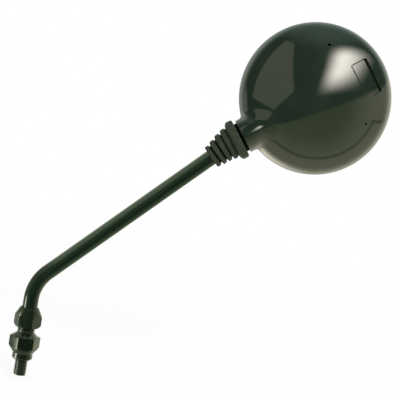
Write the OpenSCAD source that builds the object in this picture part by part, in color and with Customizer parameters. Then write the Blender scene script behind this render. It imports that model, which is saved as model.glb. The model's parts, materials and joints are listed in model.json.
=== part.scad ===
// Motorcycle mirror: a round head on a ball joint, a rubber bellows boot, a bent tube and a hex fitting.
// The origin is on the stud's axis, in the plane of the collar's underside. The stem leans towards +X
// and the glass faces +Y, so the domed back faces -Y.

/* [Stud and adapter] */
// Diameter of the stud
stud_d = 10; // [8:0.5:11]
// Length of the stud below the collar
stud_len = 13; // [8:0.5:30]
// Chamfer at the stud's end
stud_chamfer = 1.2; // [0.5:0.1:2]
// Diameter of the round collar
collar_d = 16; // [14.5:0.5:18]
// Height of the collar
collar_h = 5.3; // [3:0.1:10]
// Chamfer at the collar's lower edge
collar_chamfer = 1.2; // [0.3:0.1:1.5]
// Adapter hex across its flats
adapter_af = 21; // [20.8:0.1:24]
// Height of the adapter hex
adapter_h = 13.2; // [10:0.1:25]
// Height of the cone that is cut under the adapter hex
adapter_cone_h = 5.6; // [2:0.1:7]
// Diameter of the cone on the adapter hex, at its foot
shoulder_d = 20.6; // [17:0.1:20.8]
// Height of the cone on the adapter hex
shoulder_h = 4; // [2:0.1:8]
// Turn of the adapter hex about the stud
adapter_turn = 13.8; // [0:0.1:59.9]
// Diameter of the threaded boss
boss_d = 14; // [13.6:0.1:15]
// Height of the threaded boss above its cone
boss_h = 8.5; // [7:0.1:12]

/* [Lock nut] */
// Nut across its flats
nut_af = 19; // [18:0.1:22]
// Height of the nut
nut_h = 16.7; // [15:0.1:22]
// Thread left bare between the adapter and the nut
nut_gap = 2.4; // [1:0.1:4]
// Diameter of the nut's flat underside
nut_foot_d = 17.6; // [16:0.1:17.9]
// Diameter of the nut's flat top
nut_top_d = 14.4; // [13.8:0.1:16]
// Height of the nut's long upper taper
nut_taper_h = 7.2; // [4:0.1:9]
// Turn of the nut about the stem
nut_turn = 58.1; // [0:0.1:59.9]
// Height of the split clamp ring under the nut's cone
ring_h = 4.5; // [3.5:0.1:5]
// Wall of the clamp ring at its thin upper end
ring_tip = 0.45; // [0.3:0.05:0.6]
// Width of the slit in the clamp ring
ring_slit = 1.2; // [0.5:0.1:3]

/* [Stem] */
// Outside diameter of the tube
stem_d = 12; // [11:0.1:12.4]
// Wall of the tube
stem_wall = 1.5; // [1:0.1:2]
// Straight tube above the nut, up to the bend
stem_rise = 6.4; // [6.2:0.1:40]
// Angle through which the tube is bent
bend_angle = 45.2; // [20:0.1:80]
// Radius of the bend, along the tube's middle
bend_radius = 33; // [20:1:80]
// Straight tube from the bend to the tube's upper end
stem_len = 163.3; // [60:0.1:300]
// Diameter of the pin under the stem's foot
foot_pin_d = 10; // [8:0.1:10.4]
// Length of the pin under the stem's foot
foot_pin_len = 14; // [6:0.5:15]
// Thickness of the foot's flange
foot_flange_t = 2.5; // [1.5:0.1:3]
// Length of the foot's plug inside the tube
foot_plug_len = 9; // [5:0.5:12]
// Thickness of the friction washer
washer_t = 1; // [0.5:0.1:1.5]

/* [Ball joint] */
// Diameter of the ball
ball_d = 14; // [13:0.1:14.4]
// Distance from the tube's upper end to the ball's centre
ball_reach = 15; // [14:0.1:18]
// Diameter of the shank under the ball
shank_d = 7; // [6:0.1:7.2]
// Length of the ball stud's plug inside the tube
stud_plug_len = 12; // [6:0.5:20]
// Thickness of the shoulder that rests on the tube's end
stud_shoulder_t = 1.5; // [1:0.1:2]
// Thickness of the spherical liner
liner_t = 1.15; // [0.9:0.05:1.3]
// Angle from the joint's axis to the liner's outer edge
liner_from = 47; // [46:0.5:50]
// Angle from the joint's axis to the liner's inner edge
liner_to = 100; // [95:0.5:100]
// Number of slots in the liner
liner_slots = 4; // [2:1:8]
// Width of a slot in the liner
liner_slot_w = 1.2; // [0.6:0.1:1.5]
// Distance from the ball's centre to the pressure cup
cup_from = 3.9; // [3.9:0.1:4.5]
// Length of the pressure cup
cup_len = 6.1; // [5:0.1:8]
// Wire of the coil spring
spring_wire = 1.6; // [1:0.1:1.7]
// Length of the coil spring, as fitted
spring_len = 12; // [11:0.1:14]
// Open turns of the coil spring
spring_turns = 3; // [2:1:3]
// Thickness of the washer behind the spring
seat_t = 1; // [0.6:0.1:1.5]
// Thickness of the plate that closes the socket
cover_t = 1.5; // [1:0.1:2]
// Distance from the joint's axis to each plate screw
cover_screw_r = 13.6; // [13.4:0.1:15]
// Diameter of a plate screw
screw_d = 3.5; // [3:0.1:3.6]
// Length of a plate screw in its boss
screw_len = 8; // [5:0.5:9]

/* [Head] */
// Diameter of the head
head_d = 118; // [110:1:140]
// Wall of the head's shell
head_wall = 2.5; // [2:0.1:3]
// Height of the straight band behind the head's front edge
rim_h = 8; // [7.5:0.1:12]
// Depth of the dome behind the band
dome_depth = 31; // [26:0.5:40]
// Radius of the dome's shoulder
dome_shoulder_r = 17; // [10:0.5:20]
// Distance from the neck's axis to the dome's foot
neck_set = 9.5; // [9.5:0.1:12]
// Length of the neck, from its end face to the head's round edge
neck_len = 4.05; // [3:0.05:8]
// Lean of the head's axis away from the stem, as shown
rest_tilt = 7.8; // [0:0.1:12]
// Diameter of the neck
neck_d = 27; // [25.5:0.1:28]
// Radius of the fillets where the neck meets the head
neck_fillet = 4; // [2:0.1:4.2]
// Distance from the ball's centre to the neck's end face
neck_from = 6.95; // [6.8:0.05:7.2]
// Diameter of the spigot that holds the boot
spigot_d = 23.2; // [22.4:0.1:23.6]
// Wall of the socket at its mouth
socket_wall = 1.55; // [1.3:0.05:1.6]
// Wall of the socket's tube inside the head
barrel_wall = 2.5; // [1.8:0.1:2.6]
// Half angle of the socket's open mouth
mouth_angle = 48; // [47.5:0.5:49]
// Length of the shallow recess on the dome
recess_w = 27; // [15:0.5:32]
// Width of the shallow recess on the dome
recess_h = 12.4; // [8:0.1:18]
// Depth of the recess
recess_depth = 1; // [0.5:0.1:1.3]
// Distance from the middle of the head to the recess
recess_reach = 40.3; // [30:0.1:42]
// Sideways place of the recess
recess_side = 3.3; // [-6:0.1:6]
// Diameter of a drain hole
drain_d = 2.6; // [1.5:0.1:4]
// Distance from the middle of the head to each drain hole
drain_r = 41.5; // [30:0.5:46]
// Angle from the head's axis to each drain hole
drain_angle = 52.4; // [45:0.1:80]

/* [Glass] */
// Thickness of the glass
glass_t = 2.5; // [2:0.1:2.8]
// Radius of the convex glass
glass_curve = 1200; // [1000:50:2000]
// Depth of the glass's edge below the head's front edge
glass_sink = 0.5; // [0.4:0.1:0.8]
// Wall of the rubber ring round the glass
gasket_wall = 1.1; // [0.8:0.1:1.5]
// Reach of the rubber ring's lips over the glass
gasket_lip = 1.8; // [1:0.1:2.5]
// Height of the rubber ring's front lip
gasket_front = 1.1; // [0.8:0.1:1.5]
// Thickness of the plate behind the glass
backing_t = 1; // [0.6:0.1:1.2]
// Depth of the ledge that holds that plate, below the head's front edge
ledge_depth = 6.1; // [6:0.1:6.2]
// Width of that ledge
ledge_w = 3; // [2:0.1:4]
// Width of the bare border round the foam pad
foam_border = 5; // [4:0.5:15]

/* [Boot] */
// Outside diameter of the boot's large ring
boot_ring_d = 31.5; // [29:0.1:34]
// Width of the large ring
boot_ring_w = 7.6; // [7.2:0.1:7.8]
// Gap between the boot and the neck
boot_gap = 1.9; // [1.5:0.1:2.1]
// Diameter of the first rib
boot_first_d = 25.2; // [25:0.1:27]
// Diameter of the last rib
boot_last_d = 18.3; // [18.2:0.1:20]
// Number of ribs behind the large ring
boot_ribs = 4; // [3:1:5]
// Length from one rib to the next
boot_pitch = 5.2; // [5:0.05:5.6]
// Width of a groove between two ribs
boot_groove = 1.6; // [1:0.1:2]
// Depth of a groove between two ribs
boot_groove_depth = 1.6; // [1:0.1:1.65]
// Wall of the boot
boot_wall = 1.2; // [0.8:0.1:1.25]

/* [Hidden] */
$fn = 96;
// A cut runs this far past the face that it opens.
over = 1;
// Radial clearance between pieces that turn or slide on each other
run_fit = 0.05;
// Clearance round rubber and other loosely fitted pieces
soft_gap = 0.3;
// Clearance round a piece that is dropped into a seat
drop_fit = 0.2;
// Thinning of the tube's wall on each side, where it is bent
bend_thin = 0.02;

// Heights up the fitting
shoulder_z = collar_h + adapter_h;
boss_z = shoulder_z + shoulder_h;
boss_top_z = boss_z + boss_h;
foot_z = boss_top_z + washer_t;
tube_z = foot_z + foot_flange_t;
nut_z = boss_z + nut_gap;
nut_top_z = nut_z + nut_h;
bend_z = nut_top_z + stem_rise;

// Radii inside the nut: the foot and the clamp ring pass through its thread.
foot_flange_r = boss_d / 2 - 0.1;
ring_r = boss_d / 2;
tube_bore_r = stem_d / 2 - stem_wall;
ring_bore_r = stem_d / 2 + run_fit;
ring_tip_r = ring_bore_r + ring_tip;
ring_foot_h = 1.4;
nut_bore_r = stem_d / 2 + soft_gap;
nut_corner_r = nut_af / 2 / cos(30);
adapter_corner_r = adapter_af / 2 / cos(30);

// Place of the ball's centre, at the end of the bent tube
bend_end = [bend_radius * (1 - cos(bend_angle)), 0, bend_z + bend_radius * sin(bend_angle)];
stem_dir = [sin(bend_angle), 0, cos(bend_angle)];
ball_at = bend_end + stem_dir * (stem_len + ball_reach);
head_turn = bend_angle + rest_tilt;

// Spheres of the joint, from the ball outwards
ball_r = ball_d / 2;
liner_in_r = ball_r + run_fit;
liner_out_r = liner_in_r + liner_t;
socket_r = liner_out_r + run_fit;
socket_out_r = socket_r + socket_wall;

// Places along the joint's axis, from the ball's centre
spring_from = cup_from + cup_len;
seat_from = spring_from + spring_len;
cover_from = seat_from + seat_t;
screw_head_from = cover_from + cover_t;
boss_r = 3;
barrel_r = socket_r + barrel_wall;
spring_r = socket_r - 0.35 - spring_wire / 2;
bead_h = 1.2;
bead_out = 0.8;

// The head's section: a crown and a shoulder that meet smoothly, above a straight band
head_r = head_d / 2;
head_edge = neck_from + neck_len;
head_reach = head_edge + head_r;
shoulder_x = head_r - dome_shoulder_r;
crown_r = (pow(shoulder_x, 2) + pow(dome_depth, 2) - pow(dome_shoulder_r, 2))
    / (2 * (dome_depth - dome_shoulder_r));
crown_y = neck_set - dome_depth + crown_r;
rim_y = neck_set + rim_h;
rim_in_r = head_r - head_wall;
ledge_y = rim_y - ledge_depth;
backing_y = ledge_y + backing_t;

// The glass and its ring
gasket_out_r = rim_in_r - drop_fit;
gasket_groove_r = gasket_out_r - gasket_wall;
glass_r = gasket_groove_r - drop_fit;
gasket_in_r = gasket_groove_r - gasket_lip;
glass_edge_y = rim_y - glass_sink;
glass_centre_y = glass_edge_y - sqrt(pow(glass_curve, 2) - pow(glass_r, 2));
glass_back_y = glass_centre_y + sqrt(pow(glass_curve - glass_t, 2) - pow(glass_r, 2));
lip_y = glass_centre_y + sqrt(pow(glass_curve, 2) - pow(gasket_in_r, 2)) + drop_fit;

// The boot's stations are counted from its large end.
boot_from = neck_from - boot_gap;
boot_mouth_r = spigot_d / 2 + soft_gap;
boot_rib_from = boot_ring_w + boot_groove / 2;
boot_end_r = stem_d / 2 + soft_gap;

// Points of a circle, or of an ellipse, round the z axis
function ring_points(rx, ry, z, n) = [for (i = [0 : n - 1]) [rx * cos(360 * i / n), ry * sin(360 * i / n), z]];

// A smooth step from 0 to 1
function ease(t) = let (u = min(max(t, 0), 1)) u * u * (3 - 2 * u);

// Turn of a point about the y axis
function turn_y(p, a) = [p.x * cos(a) + p.z * sin(a), p.y, p.z * cos(a) - p.x * sin(a)];

// A solid skinned over rings of equal counts, closed by a cap at each end
module skin_capped(rings) {
    n = len(rings[0]);
    last = len(rings) - 1;
    points = [for (ring = rings) each ring];
    sides = [for (j = [0 : last - 1], i = [0 : n - 1]) each let (k = (i + 1) % n)
        [[j * n + i, (j + 1) * n + i, (j + 1) * n + k], [j * n + i, (j + 1) * n + k, j * n + k]]];
    caps = [[for (i = [0 : n - 1]) i], [for (i = [n - 1 : -1 : 0]) last * n + i]];
    polyhedron(points, concat(sides, caps), convexity = 6);
}

// A solid skinned over rings whose last one joins the first, as round a hollow sleeve
module skin_closed(rings) {
    n = len(rings[0]);
    count = len(rings);
    points = [for (ring = rings) each ring];
    sides = [for (j = [0 : count - 1], i = [0 : n - 1]) each let (k = (i + 1) % n, m = (j + 1) % count)
        [[j * n + i, m * n + i, m * n + k], [j * n + i, m * n + k, j * n + k]]];
    polyhedron(points, sides, convexity = 10);
}

// Places a child drawn along +Z on the stem's upper stretch, from the ball's centre.
module on_stem() {
    translate(ball_at) rotate([0, bend_angle, 0]) children();
}

// Places a child drawn along +Z on the head's axis, from the ball's centre.
module on_neck() {
    translate(ball_at) rotate([0, head_turn, 0]) children();
}

// Places a child drawn about +Z on the middle of the head, with +Z towards the glass and +Y to the stem.
module on_face() {
    on_neck() translate([0, 0, head_reach]) rotate([-90, 0, 0]) children();
}

// The right half plane, for profiles cut from circles
module right_half(size) {
    translate([0, -size]) square([size, 2 * size]);
}

// A hex with its corners cut back by a turned profile
module hex_block(across, z, h, turned) {
    intersection() {
        rotate([0, 0, turned]) translate([0, 0, z]) cylinder(d = across / cos(30), h = h, $fn = 6);
        rotate_extrude() children();
    }
}

// Hex adapter, turned from one bar with its collar, stud and threaded boss
module adapter_body() {
    color("#33342d")
    difference() {
        union() {
            rotate_extrude() polygon([
                [0, -stud_len],
                [stud_d / 2 - stud_chamfer, -stud_len],
                [stud_d / 2, stud_chamfer - stud_len],
                [stud_d / 2, 0],
                [collar_d / 2 - collar_chamfer, 0],
                [collar_d / 2, collar_chamfer],
                [collar_d / 2, shoulder_z - over],
                [shoulder_d / 2, shoulder_z - over],
                [shoulder_d / 2, shoulder_z],
                [boss_d / 2, boss_z],
                [boss_d / 2, boss_top_z],
                [0, boss_top_z]]);
            hex_block(adapter_af, collar_h, adapter_h, adapter_turn) polygon([
                [0, collar_h],
                [collar_d / 2, collar_h],
                [adapter_corner_r, collar_h + adapter_cone_h],
                [adapter_corner_r + over, collar_h + adapter_cone_h],
                [adapter_corner_r + over, shoulder_z],
                [0, shoulder_z]]);
        }
        translate([0, 0, foot_z - foot_pin_len - over])
            cylinder(r = foot_pin_d / 2 + run_fit, h = foot_pin_len + 2 * over);
    }
}

// Washer that the stem's foot turns on
module friction_washer() {
    color("#8b8f86")
    translate([0, 0, boss_top_z]) difference() {
        cylinder(r = foot_flange_r, h = washer_t);
        translate([0, 0, -over]) cylinder(r = foot_pin_d / 2 + drop_fit, h = washer_t + 2 * over);
    }
}

// Tall nut whose cone draws the clamp ring down onto the stem's foot
module lock_nut() {
    past_r = nut_corner_r + over;
    taper_slope = nut_taper_h / (nut_corner_r - nut_top_d / 2);
    color("#1f2a24")
    difference() {
        hex_block(nut_af, nut_z, nut_h, nut_turn) polygon([
            [0, nut_z],
            [nut_foot_d / 2, nut_z],
            [past_r, nut_z + past_r - nut_foot_d / 2],
            [past_r, nut_top_z - taper_slope * (past_r - nut_top_d / 2)],
            [nut_top_d / 2, nut_top_z],
            [0, nut_top_z]]);
        rotate_extrude() polygon([
            [0, nut_z - over],
            [boss_d / 2 + run_fit, nut_z - over],
            [boss_d / 2 + run_fit, tube_z + ring_foot_h],
            [ring_tip_r + run_fit, tube_z + ring_h],
            [nut_bore_r, tube_z + ring_h + 1.5],
            [nut_bore_r, nut_top_z + over],
            [0, nut_top_z + over]]);
    }
}

// Split conical ring between the stem's foot and the nut's cone
module clamp_ring() {
    color("#a08c55")
    difference() {
        rotate_extrude() polygon([
            [ring_bore_r, tube_z],
            [ring_r, tube_z],
            [ring_r, tube_z + ring_foot_h],
            [ring_tip_r, tube_z + ring_h],
            [ring_bore_r, tube_z + ring_h]]);
        translate([0, -ring_slit / 2, tube_z - over]) cube([ring_r + over, ring_slit, ring_h + 2 * over]);
    }
}

// Turned foot: a pin in the adapter, a flange under the clamp ring and a plug brazed into the tube
module stem_foot() {
    pin_chamfer = 1;
    color("#77796f")
    rotate_extrude() polygon([
        [0, foot_z - foot_pin_len],
        [foot_pin_d / 2 - pin_chamfer, foot_z - foot_pin_len],
        [foot_pin_d / 2, foot_z - foot_pin_len + pin_chamfer],
        [foot_pin_d / 2, foot_z],
        [foot_flange_r, foot_z],
        [foot_flange_r, tube_z],
        [tube_bore_r, tube_z],
        [tube_bore_r, tube_z + foot_plug_len],
        [0, tube_z + foot_plug_len]]);
}

// Solid rod along the stem's line, drawn out at its two ends by past.
// Its straight parts lap into the bend, whose radius differs by thin.
module bent_rod(r, thin, past) {
    lap = 0.4;
    translate([0, 0, tube_z - past]) cylinder(r = r, h = bend_z - tube_z + lap + past);
    translate([bend_radius, 0, bend_z]) rotate([90, 0, 0])
        rotate_extrude(angle = bend_angle, start = 180 - bend_angle)
            translate([bend_radius, 0]) circle(r = r - thin);
    translate(bend_end) rotate([0, bend_angle, 0]) translate([0, 0, -lap])
        cylinder(r = r, h = stem_len + lap + past);
}

// Bent tube, from the foot's flange to the ball stud
module stem_tube() {
    color("#20241f")
    difference() {
        bent_rod(stem_d / 2, bend_thin, 0);
        bent_rod(tube_bore_r, -bend_thin, over);
    }
}

// Ball with its shank, a shoulder on the tube's end and a plug pressed into the tube
module ball_stud() {
    plug_chamfer = 0.8;
    color("#9b9d97")
    on_stem() {
        sphere(r = ball_r);
        rotate_extrude() polygon([
            [0, 0],
            [shank_d / 2, 0],
            [shank_d / 2, stud_shoulder_t - ball_reach],
            [stem_d / 2, stud_shoulder_t - ball_reach],
            [stem_d / 2, -ball_reach],
            [tube_bore_r, -ball_reach],
            [tube_bore_r, plug_chamfer - ball_reach - stud_plug_len],
            [tube_bore_r - plug_chamfer, -ball_reach - stud_plug_len],
            [0, -ball_reach - stud_plug_len]]);
    }
}

// Slotted liner between the ball and the head's socket
module ball_liner() {
    far = 20;
    mid = (liner_from + liner_to) / 2;
    color("#d9d6c8")
    on_neck() difference() {
        rotate_extrude() intersection() {
            difference() {
                circle(r = liner_out_r);
                circle(r = liner_in_r);
            }
            polygon([
                [0, 0],
                far * [sin(liner_from), -cos(liner_from)],
                far * [sin(mid), -cos(mid)],
                far * [sin(liner_to), -cos(liner_to)]]);
        }
        for (i = [0 : liner_slots - 1]) rotate([0, 0, 45 + i * 360 / liner_slots])
            translate([0, -liner_slot_w / 2, -far]) cube([far, liner_slot_w, far]);
    }
}

// Cup that presses on the ball, with a stub that centres the spring
module pressure_cup() {
    stub_h = 2;
    color("#e4e0d2")
    on_neck() rotate_extrude() difference() {
        union() {
            translate([0, cup_from]) square([liner_out_r, cup_len]);
            translate([0, spring_from - over]) square([spring_r - spring_wire / 2 - 0.4, stub_h + over]);
        }
        circle(r = liner_in_r);
    }
}

// Coil spring with a closed turn at each end
module coil_spring() {
    sides = 8;
    steps = 20;
    end_turns = 0.75;
    end_pitch = spring_wire + 0.15;
    turns = spring_turns + 2 * end_turns;
    open_pitch = (spring_len - spring_wire - 2 * end_turns * end_pitch) / spring_turns;
    count = floor(turns * steps);
    function climb(t) = min(t, end_turns) * end_pitch
        + min(max(t - end_turns, 0), spring_turns) * open_pitch
        + max(t - end_turns - spring_turns, 0) * end_pitch;
    function wire_ring(j) = let (t = turns * j / count, z = spring_from + spring_wire / 2 + climb(t))
        [for (i = [0 : sides - 1]) let (r = spring_r + spring_wire / 2 * cos(360 * i / sides))
            [r * cos(360 * t), r * sin(360 * t), z + spring_wire / 2 * sin(360 * i / sides)]];
    color("#7d8078")
    on_neck() skin_capped([for (j = [count : -1 : 0]) wire_ring(j)]);
}

// Washer between the spring and the plate, which lets the head turn on the spring
module spring_seat() {
    color("#a3a59e")
    on_neck() translate([0, 0, seat_from]) difference() {
        cylinder(r = liner_out_r - 0.1, h = seat_t);
        translate([0, 0, -over]) cylinder(r = spring_r - spring_wire, h = seat_t + 2 * over);
    }
}

// Outline of the plate that closes the socket, with its two ears, drawn out by grow
module cover_outline(grow) {
    circle(r = barrel_r - soft_gap + grow);
    square([2 * cover_screw_r, 2 * (boss_r + grow)], center = true);
    for (side = [-1, 1]) translate([side * cover_screw_r, 0]) circle(r = boss_r + grow);
}

// Steel plate that closes the socket
module spring_plate() {
    color("#8f918a")
    on_neck() translate([0, 0, cover_from]) difference() {
        linear_extrude(cover_t) cover_outline(0);
        for (side = [-1, 1]) translate([side * cover_screw_r, 0, -over])
            cylinder(r = screw_d / 2 + drop_fit, h = cover_t + 2 * over);
    }
}

// Pan head screw with a cross recess
module plate_screw(side) {
    head_r = 2.9;
    head_h = 2;
    color("#b9bab4")
    on_neck() translate([side * cover_screw_r, 0, screw_head_from]) difference() {
        union() {
            cylinder(r1 = head_r, r2 = head_r - 0.7, h = head_h);
            translate([0, 0, -cover_t - screw_len]) cylinder(r = screw_d / 2, h = screw_len + cover_t + over);
        }
        for (a = [0, 90]) rotate([0, 0, a]) translate([-1.6, -0.35, head_h - 1]) cube([3.2, 0.7, 1 + over]);
    }
}

// Section of the domed head, drawn in by inset: radius along x, height towards the glass along y
module head_outline(inset) {
    far = 3 * crown_r;
    lean = atan2(shoulder_x, crown_y - neck_set);
    intersection() {
        translate([0, neck_set - dome_depth - over]) square([head_r + over, dome_depth + rim_h + over]);
        union() {
            translate([0, neck_set]) square([head_r - inset, rim_h]);
            translate([shoulder_x, neck_set]) circle(r = dome_shoulder_r - inset);
            intersection() {
                translate([0, crown_y]) circle(r = crown_r - inset, $fn = 360);
                polygon([[0, crown_y], [far * sin(lean), crown_y - far * cos(lean)], [0, crown_y - far]]);
            }
        }
    }
}

// Neck: a round sleeve that flares sideways into the head's outline
module neck_sleeve() {
    sides = 48;
    steps = 6;
    end_round = 0.6;
    root = 24;
    rim_touch = head_reach - sqrt(pow(head_r, 2) - pow(neck_d / 2, 2));
    flare_from = rim_touch - neck_fillet;
    buried = head_edge + root;
    function flare(a) = neck_fillet * (1 - cos(a));
    function along(a) = flare_from + neck_fillet * sin(a);
    skin_capped(concat(
        [ring_points(neck_d / 2 - end_round, neck_d / 2 - end_round, neck_from, sides)],
        [ring_points(neck_d / 2, neck_d / 2, neck_from + end_round, sides)],
        [for (i = [0 : steps]) let (a = 90 * i / steps)
            ring_points(neck_d / 2 + flare(a), neck_d / 2, along(a), sides)],
        [ring_points(neck_d / 2 + neck_fillet, neck_d / 2, buried, sides)]));
}

// Spigot behind the neck's end face, with a bead that holds the boot and a round socket end
module spigot() {
    rotate_extrude() intersection() {
        right_half(60);
        union() {
            circle(r = socket_out_r);
            square([spigot_d / 2, neck_from + over]);
            polygon([
                [0, 0],
                [spigot_d / 2, 0],
                [spigot_d / 2 + bead_out, bead_h / 2],
                [spigot_d / 2 + bead_out, bead_h],
                [spigot_d / 2, bead_h + bead_out],
                [0, bead_h + bead_out]]);
        }
    }
}

// Barrel and screw bosses inside the head, round the spring. The room for the plate cuts their tops level.
module barrel() {
    uncut_h = cover_from + over;
    cylinder(r = barrel_r, h = uncut_h);
    for (side = [-1, 1]) translate([side * cover_screw_r, 0, 0]) cylinder(r = boss_r, h = uncut_h);
    translate([-cover_screw_r, -boss_r, 0]) cube([2 * cover_screw_r, 2 * boss_r, uncut_h]);
}

// Spherical seat, bore and open mouth of the socket
module socket_bore() {
    mouth = 20;
    rotate_extrude() intersection() {
        right_half(60);
        union() {
            circle(r = socket_r);
            square([socket_r, cover_from + over]);
            polygon([[0, 0], [0, -mouth], [mouth * tan(mouth_angle), -mouth]]);
        }
    }
}

// Space inside the shell, with the ledge for the plate behind the glass
module shell_space() {
    rotate_extrude() union() {
        difference() {
            head_outline(head_wall);
            polygon([
                [rim_in_r + over, ledge_y],
                [rim_in_r - ledge_w, ledge_y],
                [rim_in_r - ledge_w, ledge_y - over],
                [rim_in_r + over, ledge_y - ledge_w - 2 * over]]);
        }
        translate([0, rim_y - over]) square([rim_in_r, 2 * over]);
    }
}

// Rectangle with round corners
module round_rect(w, h, r) {
    square([w - 2 * r, h], center = true);
    square([w, h - 2 * r], center = true);
    for (x = [-1, 1], y = [-1, 1]) translate([x * (w / 2 - r), y * (h / 2 - r)]) circle(r = r);
}

// Moulded shell of the head with its neck, spigot and socket
module housing() {
    cut_h = dome_depth + over;
    cover_room = 13;
    color("#2b3029")
    difference() {
        union() {
            on_face() rotate_extrude() head_outline(0);
            on_neck() neck_sleeve();
            on_neck() spigot();
        }
        difference() {
            on_face() shell_space();
            on_neck() barrel();
        }
        on_neck() socket_bore();
        on_neck() translate([0, 0, cover_from]) linear_extrude(cover_room) cover_outline(2 * soft_gap);
        on_neck() for (side = [-1, 1]) translate([side * cover_screw_r, 0, cover_from - screw_len])
            cylinder(r = screw_d / 2, h = screw_len + over);
        on_face() difference() {
            translate([recess_side, -recess_reach, neck_set - cut_h]) linear_extrude(cut_h)
                round_rect(recess_w, recess_h, 1);
            rotate_extrude() head_outline(recess_depth);
        }
        on_face() for (side = [-1, 1]) translate([side * drain_r * sin(drain_angle),
            -drain_r * cos(drain_angle), neck_set - cut_h]) cylinder(d = drain_d, h = cut_h);
    }
}

// Plate behind the glass, resting on the shell's ledge
module backing_plate() {
    color("#60625b")
    on_face() translate([0, 0, ledge_y]) cylinder(r = gasket_out_r, h = backing_t);
}

// Foam pad between that plate and the glass, with the glass's own curve
module foam_pad() {
    foam_r = gasket_in_r - foam_border;
    curve = glass_curve - glass_t - soft_gap;
    rings = 4;
    color("#3a3a3a")
    on_face() rotate_extrude() polygon(concat(
        [[0, backing_y], [foam_r, backing_y]],
        [for (i = [rings : -1 : 0]) let (r = foam_r * i / rings)
            [r, glass_centre_y + sqrt(pow(curve, 2) - pow(r, 2))]]));
}

// Rubber ring whose groove holds the edge of the glass
module rim_gasket() {
    color("#1b1c1a")
    on_face() rotate_extrude() difference() {
        polygon([
            [gasket_in_r, backing_y],
            [gasket_out_r, backing_y],
            [gasket_out_r, lip_y + gasket_front - 0.4],
            [gasket_out_r - 0.4, lip_y + gasket_front],
            [gasket_in_r + 0.5, lip_y + gasket_front],
            [gasket_in_r, lip_y + gasket_front - 0.5]]);
        translate([gasket_in_r - over, glass_back_y - drop_fit])
            square([gasket_lip + over, lip_y - glass_back_y + drop_fit]);
    }
}

// Convex mirror glass
module glass() {
    color("#c9d3d6")
    on_face() rotate_extrude() intersection() {
        translate([0, backing_y]) square([glass_r, rim_h]);
        difference() {
            translate([0, glass_centre_y]) circle(r = glass_curve, $fn = 1440);
            translate([0, glass_centre_y]) circle(r = glass_curve - glass_t, $fn = 1440);
        }
    }
}

// Rubber bellows over the joint. Its large end sits square to the head and its small end to the stem.
module boot() {
    sides = 40;
    edge = 0.5;
    chamfer = 1.1;
    step_r = (boot_first_d - boot_last_d) / 2 / (boot_ribs - 1);
    rib_w = boot_pitch - boot_groove;
    boot_len = boot_rib_from + boot_ribs * boot_pitch - boot_groove;
    bead_from = boot_from - bead_h - bead_out;
    function rib_r(i) = boot_first_d / 2 - i * step_r;
    function rib_at(i) = boot_rib_from + i * boot_pitch;
    outside = concat(
        [[0, boot_ring_d / 2 - chamfer], [chamfer, boot_ring_d / 2],
            [boot_ring_w - 2 * chamfer, boot_ring_d / 2], [boot_ring_w - edge, boot_ring_d / 2 - 2 * chamfer]],
        [for (i = [0 : boot_ribs - 1]) each [
            [rib_at(i) - boot_groove / 2, rib_r(i) - boot_groove_depth],
            [rib_at(i), rib_r(i) - edge],
            [rib_at(i) + edge, rib_r(i)],
            [rib_at(i) + rib_w - edge, rib_r(i)],
            [rib_at(i) + rib_w, rib_r(i) - edge]]]);
    inside = concat(
        [[boot_len, boot_end_r], [rib_at(boot_ribs - 1) - boot_groove / 2, boot_end_r]],
        [for (i = [boot_ribs - 2 : -1 : 0]) each [
            [rib_at(i) + rib_w - edge, rib_r(i) - boot_wall],
            [rib_at(i) + edge, rib_r(i) - boot_wall],
            [rib_at(i) - boot_groove / 2, rib_r(i) - boot_groove_depth - boot_wall]]],
        [[boot_ring_w - 3 * edge, boot_mouth_r],
            [bead_from + bead_out + bead_h + soft_gap, boot_mouth_r + bead_out],
            [bead_from + bead_out - soft_gap / 2, boot_mouth_r + bead_out],
            [bead_from - soft_gap, boot_mouth_r], [0, boot_mouth_r]]);
    bend_from = boot_ring_w;
    bend_to = rib_at(boot_ribs - 1);
    function lean(s) = rest_tilt * (1 - ease((s - bend_from) / (bend_to - bend_from)));
    color("#2c312c")
    on_stem() skin_closed([for (p = concat(outside, inside))
        [for (q = ring_points(p[1], p[1], boot_from - p[0], sides)) turn_y(q, lean(p[0]))]]);
}

adapter_body();
friction_washer();
lock_nut();
clamp_ring();
stem_foot();
stem_tube();
ball_stud();
ball_liner();
pressure_cup();
coil_spring();
spring_seat();
spring_plate();
plate_screw(-1);  // plate_screw_1
plate_screw(1);  // plate_screw_2
housing();
boot();
backing_plate();
foam_pad();
rim_gasket();
glass();
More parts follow.
